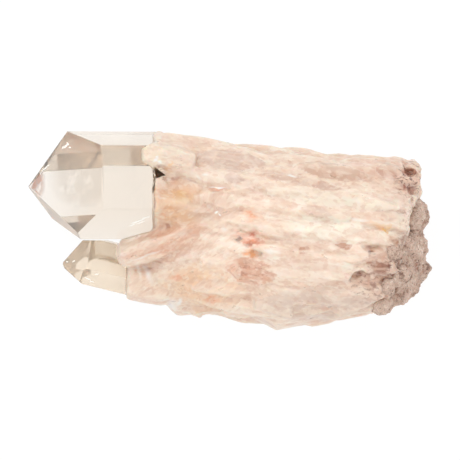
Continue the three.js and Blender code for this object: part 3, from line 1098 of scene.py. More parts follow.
@dataclass(frozen=True)
class MilkyQuartz:
    """Milky, peach-tinted quartz: streaks along the crystals, stains and glassy windows, with painted
    glints and some painted shade.

    A pair named after a change holds the two ends between which the change comes in.
    """

    deep: Colour = (228, 196, 174)
    middle: Colour = (241, 216, 196)
    pale: Colour = (252, 238, 222)
    rust: Colour = (176, 104, 70)
    shade: Colour = (212, 172, 148)
    fan_from: float = 4
    fan_slope: float = 0.6
    fan_top: float = 18
    fan_over: float = 10
    bands: Grain = Grain((13, 4.6, 5), 5, 0.6, 0.8, GRAIN_TURN)
    lines: Grain = Grain((7, 0.8, 1.0), 3, 0.6, 0.3, GRAIN_TURN)
    clouds: Grain = Grain((7, 5, 5), 4, 0.55, 1.2, at=(5, 3, 0))
    streak_shares: Triple = (0.45, 0.15, 0.5)
    turns_middle: Pair = (0.4, 0.55)
    turns_pale: Pair = (0.53, 0.68)
    edges: Grain = Grain((4.5, 2.2, 2.2), 4, 0.6, 0, GRAIN_TURN)
    patch_waves: Triple = (9, 4.5, 4)
    glint_waves: Triple = (1.6, 1.6, 1.6)
    facet_sizes: tuple[Triple, ...] = ((3.4, 1.9, 1.9), (1.4, 0.8, 0.8))
    facet_rises: tuple[float, ...] = (0.4, 0.14)
    facet_strength: float = 0.5
    facet_tone: float = 0.34
    facet_turns: Pair = (0.6, 1)
    facet_edges: Grain = Grain((5, 2, 2), 3, 0.5, 0, GRAIN_TURN)
    facet_waves: Triple = (0.9, 0.9, 0.9)
    rust_breaks: Grain = Grain((5, 4, 4), 4, 0.6, 0.4)
    rust_breaks_at: Pair = (0.46, 0.66)
    rust_depths: Pair = (0.25, 0.9)
    rust_share: float = 0.6
    ridge_heights: Pair = (-0.08, -0.5)
    ridge_share: float = 0.35
    grains: Grain = Grain((2.2, 1.2, 1.4), 5, 0.7, 0.5, GRAIN_TURN)
    grains_at: Pair = (0.5, 0.62)
    shine: Grain = Grain((6, 2.5, 2.5), 3, 0.5, 0, GRAIN_TURN)
    roughness: float = 0.34
    roughness_range: float = 0.34
    ripples: Grain = Grain((2.6, 0.7, 0.8), 4, 0.6, 0.2, GRAIN_TURN)
    ripple_rise: float = 0.2
    ripple_strength: float = 0.4
    fine: Grain = Grain((0.6, 0.45, 0.45), 3, 0.55)
    fine_rise: float = 0.1
    fine_strength: float = 0.5
    depth: Triple = (1.0, 0.62, 0.42)
    depth_scale: float = 1.6
    milkiness: float = 0.55
    clearness: float = 0.18

    def make(self, patches: Sequence[Patch]) -> bpy.types.Material:
        """The material, with each patch at its place.

        Args:
            patches: The patches.

        Returns:
            The material.
        """
        recipe = Recipe("milky_quartz")
        place = recipe.place()
        grain = self.fanned(recipe, place)
        colour = self.streaks(recipe, grain)
        colour = self.painted(recipe, place, colour, patches, self.patch_waves)
        colour = self.own(recipe, colour)
        heights, tones = self.faceted(recipe, grain)
        colour = self.toned(recipe, colour, tones)
        colour = self.stained(recipe, place, colour)
        colour = self.grainy(recipe, place, colour)
        # Painted highlights: white glints, and one white chip, laid over the finished colour.
        colour = self.painted(recipe, place, colour, PAINTED_GLINTS_AND_CHIP, self.glint_waves)
        self.finish(recipe, grain, colour, heights)
        return recipe.material

    def fanned(self, recipe: Recipe, place: Socket) -> Socket:
        """The place, bent so that the grain fans out towards the points.

        Args:
            recipe: The recipe to add to.
            place: The place on the piece.

        Returns:
            The bent place.
        """
        parts = recipe.node("ShaderNodeSeparateXYZ")
        recipe.feed(parts.inputs[0], place)
        before = recipe.math("SUBTRACT", self.fan_from + SHIFT.x, parts.outputs["X"])
        rise = recipe.times(recipe.math("MAXIMUM", before, 0.0), self.fan_slope)
        low = recipe.remap(parts.outputs["Y"], self.fan_top, self.fan_top - self.fan_over)
        bent = recipe.node("ShaderNodeCombineXYZ")
        recipe.feed(bent.inputs["X"], parts.outputs["X"])
        recipe.feed(bent.inputs["Y"], recipe.plus(parts.outputs["Y"], recipe.times(rise, low)))
        recipe.feed(bent.inputs["Z"], parts.outputs["Z"])
        return bent.outputs[0]

    def streaks(self, recipe: Recipe, place: Socket) -> Socket:
        """The colour without its patches: bands, fine streaks and paler clouds.

        Args:
            recipe: The recipe to add to.
            place: The place, bent along the crystals.

        Returns:
            The colour.
        """
        layers = [recipe.level(place, grain) for grain in (self.bands, self.lines, self.clouds)]
        tone = recipe.weighed(layers, self.streak_shares)
        low = recipe.remap(tone, *self.turns_middle)
        high = recipe.remap(tone, *self.turns_pale)
        colour = recipe.mix(low, paint(*self.deep), paint(*self.middle))
        return recipe.mix(high, colour, paint(*self.pale))

    def painted(
        self,
        recipe: Recipe,
        place: Socket,
        colour: Socket,
        patches: Sequence[Patch],
        waves: Triple,
    ) -> Socket:
        """The colour with each patch mixed in, its edge broken up by so many millimetres.

        Args:
            recipe: The recipe to add to.
            place: The place on the piece.
            colour: The colour so far.
            patches: The patches.
            waves: How far their edges waver along each axis.

        Returns:
            The colour with the patches.
        """
        centred = recipe.node("ShaderNodeVectorMath", operation="SUBTRACT")
        recipe.feed(centred.inputs[0], recipe.noise(place, self.edges).outputs["Color"])
        centred.inputs[1].default_value = (0.5, 0.5, 0.5)
        moved = recipe.bent(place, centred.outputs[0], waves)
        for patch in patches:
            share = recipe.times(patch.share(recipe, moved), patch.strength)
            colour = recipe.mix(share, colour, paint(*patch.colour))
        return colour

    def faceted(self, recipe: Recipe, place: Socket) -> tuple[list[Socket], list[Socket]]:
        """The heights and the tones of two sizes of facets, their edges a little bent.

        Args:
            recipe: The recipe to add to.
            place: The place, bent along the crystals.

        Returns:
            The heights and the random colours.
        """
        waver = recipe.noise(place, self.facet_edges).outputs["Color"]
        heights = []
        tones = []
        for size in self.facet_sizes:
            steps = recipe.placed(place, (0, 0, 0), GRAIN_TURN, size)
            height, tone = recipe.facets(recipe.bent(steps, waver, self.facet_waves))
            heights.append(height)
            tones.append(tone)
        return heights, tones

    def toned(self, recipe: Recipe, colour: Socket, tones: Sequence[Socket]) -> Socket:
        """The colour with some facets a little deeper and some a little paler.

        Args:
            recipe: The recipe to add to.
            colour: The colour so far.
            tones: The facets' random colours.

        Returns:
            The colour with the facets' tones.
        """
        for tone in tones:
            share = recipe.node("ShaderNodeSeparateColor")
            recipe.feed(share.inputs[0], tone)
            for index, other in enumerate((self.shade, self.pale)):
                turned = recipe.remap(share.outputs[index], *self.facet_turns)
                colour = recipe.mix(recipe.times(turned, self.facet_tone), colour, paint(*other))
        return colour

    def own(self, recipe: Recipe, colour: Socket) -> Socket:
        """The colour with the part that a small crystal has of its own."""
        tint = recipe.attribute("own_colour", "Color")
        return recipe.mix(recipe.attribute("own_share"), colour, tint)

    def stained(self, recipe: Recipe, place: Socket, colour: Socket) -> Socket:
        """The colour with rust gathered in the hollows and pale ridges.

        Args:
            recipe: The recipe to add to.
            place: The place on the piece.
            colour: The colour so far.

        Returns:
            The stained colour.
        """
        hollow = recipe.attribute("hollow")
        breaks = recipe.remap(recipe.level(place, self.rust_breaks), *self.rust_breaks_at)
        share = recipe.times(recipe.remap(hollow, *self.rust_depths), breaks)
        colour = recipe.mix(recipe.times(share, self.rust_share), colour, paint(*self.rust))
        ridge = recipe.remap(hollow, *self.ridge_heights)
        return recipe.mix(recipe.times(ridge, self.ridge_share), colour, paint(*self.pale))

    def grainy(self, recipe: Recipe, place: Socket, colour: Socket) -> Socket:
        """The colour with dark grains where the quartz is broken and stained.

        Args:
            recipe: The recipe to add to.
            place: The place on the piece.
            colour: The colour so far.

        Returns:
            The colour with the grains.
        """
        dark = recipe.remap(recipe.level(place, self.grains), *self.grains_at)
        for patch in GRAINY_PATCHES:
            share = recipe.times(recipe.times(patch.share(recipe, place), dark), patch.strength)
            colour = recipe.mix(share, colour, paint(*patch.colour))
        return colour

    def finish(
        self, recipe: Recipe, place: Socket, colour: Socket, heights: Sequence[Socket]
    ) -> None:
        """Sets the shader: colour, gloss, milkiness and fine relief.

        Args:
            recipe: The recipe to add to.
            place: The place, bent along the crystals.
            colour: The finished colour.
            heights: The facets' heights.
        """
        recipe.settle(
            {
                "IOR": QUARTZ_IOR,
                "Transmission Weight": self.clearness,
                "Subsurface Weight": self.milkiness,
                "Subsurface Radius": self.depth,
                "Subsurface Scale": self.depth_scale * MM,
            }
        )
        inputs = recipe.shader.inputs
        recipe.feed(inputs["Base Color"], colour)
        shine = recipe.times(recipe.level(place, self.shine), self.roughness_range)
        least = self.roughness - self.roughness_range / 2
        recipe.feed(inputs["Roughness"], recipe.plus(shine, least))
        ripples = recipe.level(place, self.ripples)
        normal = recipe.bump(ripples, self.ripple_rise, self.ripple_strength)
        for height, rise in zip(heights, self.facet_rises):
            normal = recipe.bump(height, rise, self.facet_strength, normal)
        fine = recipe.level(place, self.fine)
        normal = recipe.bump(fine, self.fine_rise, self.fine_strength, normal)
        recipe.feed(inputs["Normal"], normal)


WARM_WHITE = (255, 242, 224)


@dataclass(frozen=True)
class ClearQuartz:
    """Clear, faintly golden quartz with polished natural faces."""

    name: str
    colour: Colour = (255, 252, 248)
    tint: tuple[float, float, float, float] = (0.725, 0.49, 0.19, 1)
    density: float = 9
    milk: float = 0.1
    roughness: float = 0.02
    growth: Grain = Grain((2.5, 14, 14), 1, 0.5)
    growth_rise: float = 0.03
    growth_strength: float = 0.2

    def make(self) -> bpy.types.Material:
        """The material: plain transmission, an index of refraction and a plain absorption.

        Returns:
            The material.
        """
        recipe = Recipe(self.name)
        recipe.settle(
            {
                "Base Color": paint(*self.colour),
                "Transmission Weight": 1 - self.milk,
                "IOR": QUARTZ_IOR,
                "Roughness": self.roughness,
            }
        )
        growth = recipe.level(recipe.place(), self.growth)
        normal = recipe.bump(growth, self.growth_rise, self.growth_strength)
        recipe.feed(recipe.shader.inputs["Normal"], normal)
        absorption = recipe.node("ShaderNodeVolumeAbsorption")
        absorption.inputs["Color"].default_value = self.tint
        absorption.inputs["Density"].default_value = self.density
        output = recipe.tree.nodes["Material Output"]
        recipe.feed(output.inputs["Volume"], absorption.outputs["Volume"])
        return recipe.material


@dataclass(frozen=True)
class HostRock:
    """Granular, dull, iron-stained rock.

    A pair named after a change holds the two ends between which the change comes in.
    """

    dark: Colour = (138, 108, 94)
    middle: Colour = (200, 174, 158)
    pale: Colour = (232, 214, 200)
    rust: Colour = (158, 104, 80)
    speck: Colour = (74, 58, 50)
    patches: Grain = Grain((5, 5, 5), 5, 0.65, 0.5)
    speckle: Grain = Grain((0.5, 0.5, 0.5), 3, 0.6)
    shares: Pair = (0.6, 0.4)
    turns_middle: Pair = (0.36, 0.52)
    turns_pale: Pair = (0.52, 0.66)
    rust_depths: Pair = (0.0, 0.5)
    rust_share: float = 0.6
    specks: Grain = Grain((0.9, 0.9, 0.9), 2, 0.5, at=(9, 3, 0))
    specks_at: Pair = (0.64, 0.7)
    speck_share: float = 0.85
    grain_size: Triple = (0.9, 0.9, 0.9)
    grain_rise: float = 0.35
    speckle_rise: float = 0.2
    bump_strength: float = 0.6
    roughness: float = 0.85
    softness: float = 0.1
    soft_depth: float = 1

    def make(self) -> bpy.types.Material:
        """The material, with grains, stains and darker hollows.

        Returns:
            The material.
        """
        recipe = Recipe("host_rock")
        place = recipe.place()
        grains = recipe.node("ShaderNodeTexVoronoi", feature="F1")
        recipe.feed(grains.inputs["Vector"], recipe.placed(place, (0, 0, 0), 0, self.grain_size))
        grains.inputs["Scale"].default_value = 1
        patches = recipe.level(place, self.patches)
        speckle = recipe.level(place, self.speckle)
        tone = recipe.weighed((patches, speckle), self.shares)
        low = recipe.remap(tone, *self.turns_middle)
        high = recipe.remap(tone, *self.turns_pale)
        colour = recipe.mix(low, paint(*self.dark), paint(*self.middle))
        colour = recipe.mix(high, colour, paint(*self.pale))
        depth = recipe.remap(recipe.attribute("hollow"), *self.rust_depths)
        colour = recipe.mix(recipe.times(depth, self.rust_share), colour, paint(*self.rust))
        black = recipe.remap(recipe.level(place, self.specks), *self.specks_at)
        colour = recipe.mix(recipe.times(black, self.speck_share), colour, paint(*self.speck))
        recipe.settle(
            {
                "Roughness": self.roughness,
                "Subsurface Weight": self.softness,
                "Subsurface Scale": self.soft_depth * MM,
            }
        )
        recipe.feed(recipe.shader.inputs["Base Color"], colour)
        normal = recipe.bump(grains.outputs["Distance"], self.grain_rise, self.bump_strength)
        normal = recipe.bump(speckle, self.speckle_rise, self.bump_strength, normal)
        recipe.feed(recipe.shader.inputs["Normal"], normal)
        return recipe.material


@dataclass
class DarkGap:
    """The dark gap and the crack at the main point's base: their outlines seen from above."""

    outlines: tuple[tuple[Pair, ...], ...] = (
        ((-26.1, 21.6), (-21.9, 18.5), (-25.2, 17.3)),
        ((-26.1, 18.4), (-25.3, 18.0), (-25.7, 13.0), (-25.95, 13.0)),
    )
    floor: float = 25
    reach: float = 60

    def cutter(self, corners: Sequence[Pair], wider: float) -> bpy.types.Object:
        """The solid to take out for one outline, its sides moved outwards by so much.

        Args:
            corners: The corners of the outline.
            wider: Millimetres that the sides are moved outwards.

        Returns:
            The solid.
        """
        ring = [Vector((x, y, self.floor)) for x, y in corners]
        middle = sum(ring, Vector()) / len(ring)
        faces = [FacePlane(Vector((0, 0, -1)), wider - self.floor)]
        for first, second in zip(ring, ring[1:] + ring[:1]):
            side = plane_through(first, second, first + Vector((0, 0, 1)), middle)
            faces.append(side.moved(wider))
        return carved("gap_cutter", faces, middle, self.reach)

    def take_out(self, obj: bpy.types.Object, wider: float = 0) -> None:
        """Takes the gap out of an object.

        Args:
            obj: The object to change.
            wider: Millimetres that the gap is made wider.
        """
        for corners in self.outlines:
            cutter = self.cutter(corners, wider)
            cut_out(obj, cutter)
            bpy.data.objects.remove(cutter)


@dataclass
class ClearPoint:
    """A clear point as a piece of its own: its solid and the cutter that makes room for it."""

    name: str
    shape: MainPoint | SecondPoint
    middle: Triple
    reach: float
    finish: ClearQuartz
    gap: DarkGap | None = None
    gap_margin: float = 0.2
    edge: float = 0.12
    edge_steps: int = 2
    edge_angle: float = 8
    clearance: float = 0.03

    def build(self) -> bpy.types.Object:
        """The clear solid, with its edges barely rounded.

        Returns:
            The finished piece.
        """
        faces = [*self.shape.faces(), across_bundle(self.shape.clear_end_x)]
        obj = carved(self.name, faces, Vector(self.middle), self.reach)
        if self.gap:
            self.gap.take_out(obj, self.gap_margin)
        apply_modifier(
            obj,
            "BEVEL",
            width=self.edge * MM,
            segments=self.edge_steps,
            limit_method="ANGLE",
            angle_limit=math.radians(self.edge_angle),
        )
        obj.data.materials.append(self.finish.make())
        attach(obj, "root")
        return obj

    def cutter(self) -> bpy.types.Object:
        """The solid to take out of the bundle, barely larger, so that no skin is left.

        Returns:
            The solid.
        """
        faces = [face.moved(self.clearance) for face in self.shape.faces()]
        faces.append(across_bundle(self.shape.body_starts_x))
        return carved(self.name + "_cutter", faces, Vector(self.middle), self.reach)


@dataclass(frozen=True)
class CloudyQuartz:
    """Cloudy quartz: dull where it has no silver, and more mirror-like the more it has."""

    name: str
    colour: Colour
    silver: float = 0
    dullness: float = 0.9
    silver_gloss: float = 0.5

    def recipe(self) -> Recipe:
        """The recipe, with its colour and gloss.

        Returns:
            The recipe.
        """
        recipe = Recipe(self.name)
        recipe.settle(
            {
                "Base Color": paint(*self.colour),
                "Metallic": self.silver,
                "Roughness": self.dullness - self.silver_gloss * self.silver,
                "Specular IOR Level": 0,
            }
        )
        return recipe

    def make(self) -> bpy.types.Material:
        """The material."""
        return self.recipe().material


@dataclass(frozen=True, kw_only=True)
class VeilQuartz(CloudyQuartz):
    """A thin cloud with holes in it, inside an ellipsoid with a soft edge."""

    thickness: float
    cloud: Grain
    cover: Pair
    middle: Triple
    half: Triple
    soft: float = 0.5

    def make(self) -> bpy.types.Material:
        """The material, see-through where the cloud thins out.

        Returns:
            The material.
        """
        recipe = self.recipe()
        place = recipe.place()
        cloud = recipe.level(place, self.cloud)
        within = recipe.inside(place, self.middle, self.half, 0, (1, 1 - self.soft))
        share = recipe.times(recipe.remap(cloud, *self.cover), within)
        recipe.feed(recipe.shader.inputs["Alpha"], recipe.times(share, self.thickness))
        return recipe.material


@dataclass
class CloudyRoot:
    """The cloudy quartz in the base of a clear point, where it is rooted in the bundle."""

    name: str
    point: ClearPoint
    starts_x: float
    colour: Colour = (255, 236, 216)
    silver: float = 0.8
    inset: float = 0.4
    end_inset: float = 0.1
    gap_margin: float = 0.6
    voxel: float = 0.4
    relief: tuple[Layer, ...] = (Layer(Relief.CLOUDS, 0.7, (4, 4, 4)),)

    def build(self) -> bpy.types.Object:
        """The cloud, from just inside the point's sides to inside the bundle.

        Returns:
            The finished piece.
        """
        shape = self.point.shape
        faces = [face.moved(-self.inset) for face in shape.faces()]
        faces.append(across_bundle(shape.clear_end_x - self.end_inset))
        faces.append(FacePlane(Vector((-1, 0, 0)), -self.starts_x))
        obj = carved(self.name, faces, Vector(self.point.middle), self.point.reach)
        remesh(obj, self.voxel)
        roughen(obj, self.relief)
        if self.point.gap:
            self.point.gap.take_out(obj, self.gap_margin)
        smooth_in(obj, CloudyQuartz(self.name, self.colour, self.silver).make())
        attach(obj, "root")
        return obj


@dataclass
class Veil:
    """A thin cloudy sheet that hangs inside a clear point."""

    point: ClearPoint
    plane: FacePlane
    along: Pair
    across: Pair
    finish: VeilQuartz
    inset: float = 0.7
    thick: float = 0.06

    def build(self) -> bpy.types.Object:
        """The sheet, cut to its length and width.

        Returns:
            The finished piece.
        """
        faces = [plane.moved(-self.inset) for plane in self.point.shape.faces()]
        faces.append(self.plane)
        faces.append(FacePlane(-self.plane.normal, self.thick - self.plane.distance))
        for axis, (low, high) in (((1, 0, 0), self.along), ((0, 1, 0), self.across)):
            faces.append(FacePlane(-Vector(axis), -low))
            faces.append(FacePlane(Vector(axis), high))
        obj = carved(self.finish.name, faces, Vector(self.point.middle), self.point.reach)
        obj.data.materials.append(self.finish.make())
        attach(obj, "root")
        return obj


def veils(main_point: ClearPoint) -> list[Veil]:
    """The sheets inside the main point, along the large face of its tip.

    Args:
        main_point: The main point.

    Returns:
        The sheets.
    """
    tip = main_point.shape.tip_face()
    beige = VeilQuartz(
        "front_veil",
        (250, 236, 218),
        thickness=0.2,
        cloud=Grain((8, 7, 6), 2, 0.5, 0.2),
        cover=(0.2, 0.5),
        middle=(-48.5, 16.6, 30),
        half=(17, 11.5, 30),
    )
    peach = VeilQuartz(
        "tip_veil",
        (228, 152, 102),
        thickness=0.7,
        cloud=Grain((4, 4, 4), 2, 0.5, 0.2),
        cover=(0.3, 0.6),
        middle=(-69, 16, 24),
        half=(5.4, 9, 30),
    )
    return [
        Veil(main_point, tip.moved(-1.6), (-66.5, -43.2), (7.4, 26), beige),
        Veil(main_point, tip.moved(-1.0), (-70, -62), (4, 28), peach),
    ]


@dataclass(frozen=True)
class Fleck:
    """A white fleck at a clear point's face: its place, its length, its width and its turn."""

    x: float
    y: float
    length: float
    width: float
    turn: float


# White flecks: some are chips and fractures, and some are painted glints. Among the glints are the
# row along the main point's side near x -31 and those on the second point.
MAIN_FLECKS = (
    Fleck(-56.9, 28.8, 2.6, 0.9, 20),
    Fleck(-56.2, 29.6, 1.7, 0.7, -30),
    Fleck(-58.0, 28.4, 1.3, 0.6, 60),
    Fleck(-55.4, 28.3, 1.4, 0.5, -10),
    Fleck(-64.4, 21.4, 2.2, 0.6, 24),
    Fleck(-65.4, 20.6, 1.6, 0.5, 40),
    Fleck(-63.4, 22.2, 1.2, 0.4, 10),
    Fleck(-66.2, 19.6, 1.4, 0.4, 55),
    Fleck(-31.6, 2.6, 5.2, 0.7, 32),
    Fleck(-28.8, 3.9, 3.0, 0.6, 24),
    Fleck(-33.4, 1.4, 2.4, 0.5, 40),
    Fleck(-30.6, 2.2, 3.4, 0.4, 30),
)
SECOND_FLECKS = (
    Fleck(-49.6, -17.4, 2.6, 0.5, -34),
    Fleck(-48.2, -18.4, 1.8, 0.4, -20),
    Fleck(-54.6, -11.3, 1.3, 0.6, 20),
    Fleck(-57.0, -11.5, 1.1, 0.5, -20),
    Fleck(-46.4, -15.8, 1.5, 0.5, 10),
)


def top_of(faces: Sequence[FacePlane], x: float, y: float) -> tuple[Vector, Vector]:
    """The highest place of a convex solid over a place on the table, and the normal there.

    Args:
        faces: The solid's faces.
        x: The place along the bundle.
        y: The place across the bundle.

    Returns:
        The place on the solid and the normal.
    """
    upper = [face for face in faces if face.normal.z > UPWARD]
    lowest = min(upper, key=lambda face: point_above(face, x, y).z)
    return point_above(lowest, x, y), lowest.normal


@dataclass
class Flecks:
    """The white flecks at a clear point's faces, as one piece: chips and fractures, and painted
    glints.
    """

    name: str
    point: ClearPoint
    flecks: Sequence[Fleck]
    thick: float = 0.12
    below: float = 0.02
    proud: float = 0.5
    colour: Colour = (255, 253, 248)

    def build(self) -> bpy.types.Object:
        """The flecks, each laid along the face that it lies at.

        Returns:
            The finished piece.
        """
        faces = self.point.shape.faces()
        small = Slivers()
        matrices = []
        for fleck in self.flecks:
            top, normal = top_of(faces, fleck.x, fleck.y)
            at = in_row(top - normal * self.below)
            size = (fleck.length, fleck.width, self.thick)
            matrices.append(small.lying(at, normal, fleck.turn, size, self.proud))
        obj, *others = small.copies(self.name, matrices)
        join(obj, others)
        obj.name = self.name
        obj.data.materials.append(CloudyQuartz(self.name, self.colour).make())
        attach(obj, "root")
        return obj


@dataclass(frozen=True)
class Lens:
    """A lens-shaped crystal on the upper side: its middle, its size, its turn and its colour."""

    x: float
    y: float
    length: float
    width: float
    turn: float
    colour: Colour
    strength: float = 0.8
    proud: float = 0.25


# A height above the whole piece, from which places on its upper side are looked up.
SKY_HIGH = 80.0

# Where the upper side is broken into pits: x and y.
PITS = ((62.5, 19.4), (64.0, 13.6), (6.6, -5.0), (50, -6.4), (44, -15.8))

LENSES = (
    Lens(-5, 17.8, 33, 5.6, -14, (246, 227, 211), 0.5, 0.3),
    Lens(35.5, 10.2, 46, 6.5, -7, (250, 234, 217), 0.6, 0.3),
    Lens(25.7, 16.1, 29, 3.6, -13, (218, 188, 170), 0.7, 0.25),
    Lens(31.7, 0.9, 27, 7.4, -3, (252, 240, 224), 0.7, 0.3),
    Lens(27, -14.4, 31, 6.5, -2, (246, 226, 209), 0.5, 0.3),
    Lens(29.2, -25.6, 41, 12.5, 1, (224, 203, 188), 0.65, 0.3),
    Lens(-4.5, 8.2, 17, 9, -20, (228, 198, 178), 0.5, 0.25),
    Lens(0, 23.9, 25, 7.2, -7, (219, 193, 178), 0.8, 0.25),
    Lens(1.6, 17.4, 7, 3.2, -12, (220, 194, 182), 0.8, 0.25),
    Lens(35.5, 19.8, 25, 5.6, -9, (208, 170, 148), 0.7, 0.2),
    Lens(54.8, 19.9, 9, 5.6, -10, (210, 168, 148), 0.8, 0.25),
    Lens(29.5, 6.0, 11, 3.6, -12, (216, 186, 168), 0.8, 0.25),
    Lens(7.2, -14.4, 18, 8.4, -14, (218, 166, 138), 0.6, 0.2),
    Lens(25.7, -7.7, 12, 7.4, 0, (234, 206, 187), 0.6, 0.3),
    Lens(25.4, -7.4, 5.0, 2.6, 0, (202, 152, 126), 0.9, 0.3),
    Lens(39.3, -5.5, 7, 2.8, -14, (198, 146, 120), 0.9, 0.25),
    Lens(-23.6, 4.9, 5, 2.8, -40, (234, 172, 124), 0.8, 0.3),
    Lens(51.2, -12.2, 9, 2.3, -7, (160, 108, 86), 0.8, 0.25),
    Lens(51.6, -15.4, 9, 2.5, -4, (154, 102, 80), 0.8, 0.25),
)


@dataclass(frozen=True)
class Sliver:
    """One small crystal on the bundle: where it lies, how large it is and its colour."""

    matrix: Matrix
    colour: Colour
    strength: float


@dataclass(frozen=True)
class Brood:
    """Crystals of one size: how many, how long, how slim, how proud and how much they fan out."""

    count: int
    lengths: Pair
    slimness: Pair
    proud: Pair
    turn_spread: float
    strengths: Pair


BROODS = (
    Brood(90, (14, 30), (0.18, 0.30), (0.10, 0.30), 8, (0.1, 0.35)),
    Brood(620, (4, 14), (0.16, 0.30), (0.08, 0.32), 12, (0.1, 0.5)),
)


@dataclass
class Slivers:
    """The small crystals that lie along the bundle and stand a little proud of it."""

    seed: int = 11
    turn: float = GRAIN_TURN
    fan: float = 30
    fan_from: float = 6
    fan_over: float = 18
    fan_top: float = 20
    sides: int = 6
    taper: float = 0.3
    end_size: Triple = (0.25, 0.4, 1)
    tried_ends: Pair = (-0.42, 0.42)
    most_overhang: float = 0.25
    most_facing_ends: float = 0.6
    thickness: Pair = (0.5, 0.8)
    lens_thickness: float = 0.5
    lens_levelling: float = 1.5
    coloured_half_width: float = 0.52
    coloured_narrowing: float = 0.8
    coloured_half_depth: float = 0.7
    palette: tuple[Colour, ...] = (
        (250, 234, 216),
        (246, 224, 204),
        (226, 200, 184),
        (222, 188, 166),
        (240, 208, 182),
    )

    def pattern(self) -> bpy.types.Object:
        """One crystal, 1 mm long and 1 mm wide, with a point at each end and a flat side on top.

        Returns:
            The crystal.
        """
        bpy.ops.object.select_all(action="DESELECT")
        bpy.ops.mesh.primitive_cylinder_add(
            vertices=self.sides,
            radius=0.5 * MM,
            depth=(1 - 2 * self.taper) * MM,
            end_fill_type="NGON",
        )
        obj = bpy.context.object
        bpy.ops.object.mode_set(mode="EDIT")
        bpy.ops.mesh.select_all(action="DESELECT")
        bpy.ops.object.mode_set(mode="OBJECT")
        for face in obj.data.polygons:
            face.select = abs(face.normal.z) > END_FACING
        bpy.ops.object.mode_set(mode="EDIT")
        bpy.ops.mesh.extrude_faces_move(
            MESH_OT_extrude_faces_indiv={},
            TRANSFORM_OT_shrink_fatten={"value": self.taper * MM},
        )
        bpy.ops.transform.resize(value=self.end_size)
        bpy.ops.object.mode_set(mode="OBJECT")
        quarter = math.radians(90)
        turned = Matrix.Rotation(quarter, 4, "Y") @ Matrix.Rotation(quarter, 4, "Z")
        obj.data.transform(turned)
        return obj

    def copies(self, name: str, matrices: Sequence[Matrix]) -> list[bpy.types.Object]:
        """A copy of the pattern for each matrix, each with its own mesh.

        Args:
            name: The copies' name.
            matrices: The size, turn and place of each.

        Returns:
            The copies.
        """
        pattern = self.pattern()
        made = []
        for matrix in matrices:
            copy = linked(name, pattern.data.copy())
            copy.data.transform(matrix)
            made.append(copy)
        bpy.data.objects.remove(pattern)
        return made

    def turn_at(self, place: Vector) -> float:
        """How far the crystals at a place are turned: they fan out towards the points.

        Args:
            place: The place in the row frame, in metres.

        Returns:
            Degrees around +Z.
        """
        own = place / MM - SHIFT
        left = min(max((self.fan_from - own.x) / self.fan_over, 0), 1)
        low = min(max((self.fan_top - own.y) / self.fan_over, 0), 1)
        return self.turn + self.fan * left * low

    def lying(self, at: Vector, normal: Vector, turn: float, size: Triple, proud: float) -> Matrix:
        """The size, turn and place of a crystal that lies on a surface.

        Args:
            at: The place on the surface, in metres.
            normal: The surface's normal there.
            turn: Degrees that the crystal is turned around +Z.
            size: Its length, width and thickness.
            proud: The share of its thickness that stands out of the surface.

        Returns:
            The matrix.
        """
        angle = math.radians(turn)
        along = Vector((math.cos(angle), math.sin(angle), 0))
        along = (along - normal * along.dot(normal)).normalized()
        across = normal.cross(along)
        middle = at + normal * (proud - 0.5) * size[2] * MM
        axes = Matrix((along * size[0], across * size[1], normal * size[2])).transposed().to_4x4()
        return Matrix.Translation(middle) @ axes

    def overhangs(self, bundle: bpy.types.Object, matrix: Matrix) -> bool:
        """Whether an end of a crystal would stand out of the bundle.

        Args:
            bundle: The bundle.
            matrix: The crystal's size, turn and place.

        Returns:
            Whether one does.
        """
        for end in self.tried_ends:
            tip = matrix @ Vector((end * MM, 0, 0))
            _, at, normal, _ = bundle.closest_point_on_mesh(tip)
            if (tip - at).dot(normal) > self.most_overhang * MM:
                return True
        return False

    def strewn(self, bundle: bpy.types.Object) -> list[Sliver]:
        """Crystals strewn over the whole bundle, more of them where it has more surface.

        Args:
            bundle: The bundle.

        Returns:
            The crystals.
        """
        chance = np.random.default_rng(self.seed)
        faces = bundle.data.polygons
        areas = np.zeros(len(faces))
        faces.foreach_get("area", areas)
        made = []
        for brood in BROODS:
            for index in chance.choice(len(faces), brood.count, p=areas / areas.sum()):
                face = faces[int(index)]
                normal = face.normal.copy()
                turn = self.turn_at(face.center) + chance.normal(0, brood.turn_spread)
                length = chance.uniform(*brood.lengths)
                width = length * chance.uniform(*brood.slimness)
                thick = width * chance.uniform(*self.thickness)
                proud = chance.uniform(*brood.proud)
                colour = self.palette[int(chance.integers(len(self.palette)))]
                strength = chance.uniform(*brood.strengths)
                matrix = self.lying(face.center, normal, turn, (length, width, thick), proud)
                sideways = abs(normal.x) < self.most_facing_ends
                if sideways and not self.overhangs(bundle, matrix):
                    made.append(Sliver(matrix, colour, strength))
        return made

    def chosen(self, bundle: bpy.types.Object) -> list[Sliver]:
        """The crystals that are easily made out from above, each at its own place.

        Args:
            bundle: The bundle.

        Returns:
            The crystals.
        """
        made = []
        for lens in LENSES:
            above = in_row((lens.x, lens.y, SKY_HIGH))
            _, at, normal, _ = bundle.ray_cast(above, Vector((0, 0, -1)))
            level = (normal + Vector((0, 0, self.lens_levelling))).normalized()
            size = (lens.length, lens.width, lens.width * self.lens_thickness)
            matrix = self.lying(at, level, lens.turn, size, lens.proud)
            made.append(Sliver(matrix, lens.colour, lens.strength))
        return made

    def grow(self, bundle: bpy.types.Object) -> list[Sliver]:
        """Adds the small crystals to the bundle's mesh, where they still overlap it.

        Args:
            bundle: The bundle that they lie on.

        Returns:
            The crystals, the ones that are easily made out last.
        """
        slivers = self.strewn(bundle) + self.chosen(bundle)
        join(bundle, self.copies("sliver", [sliver.matrix for sliver in slivers]))
        return slivers

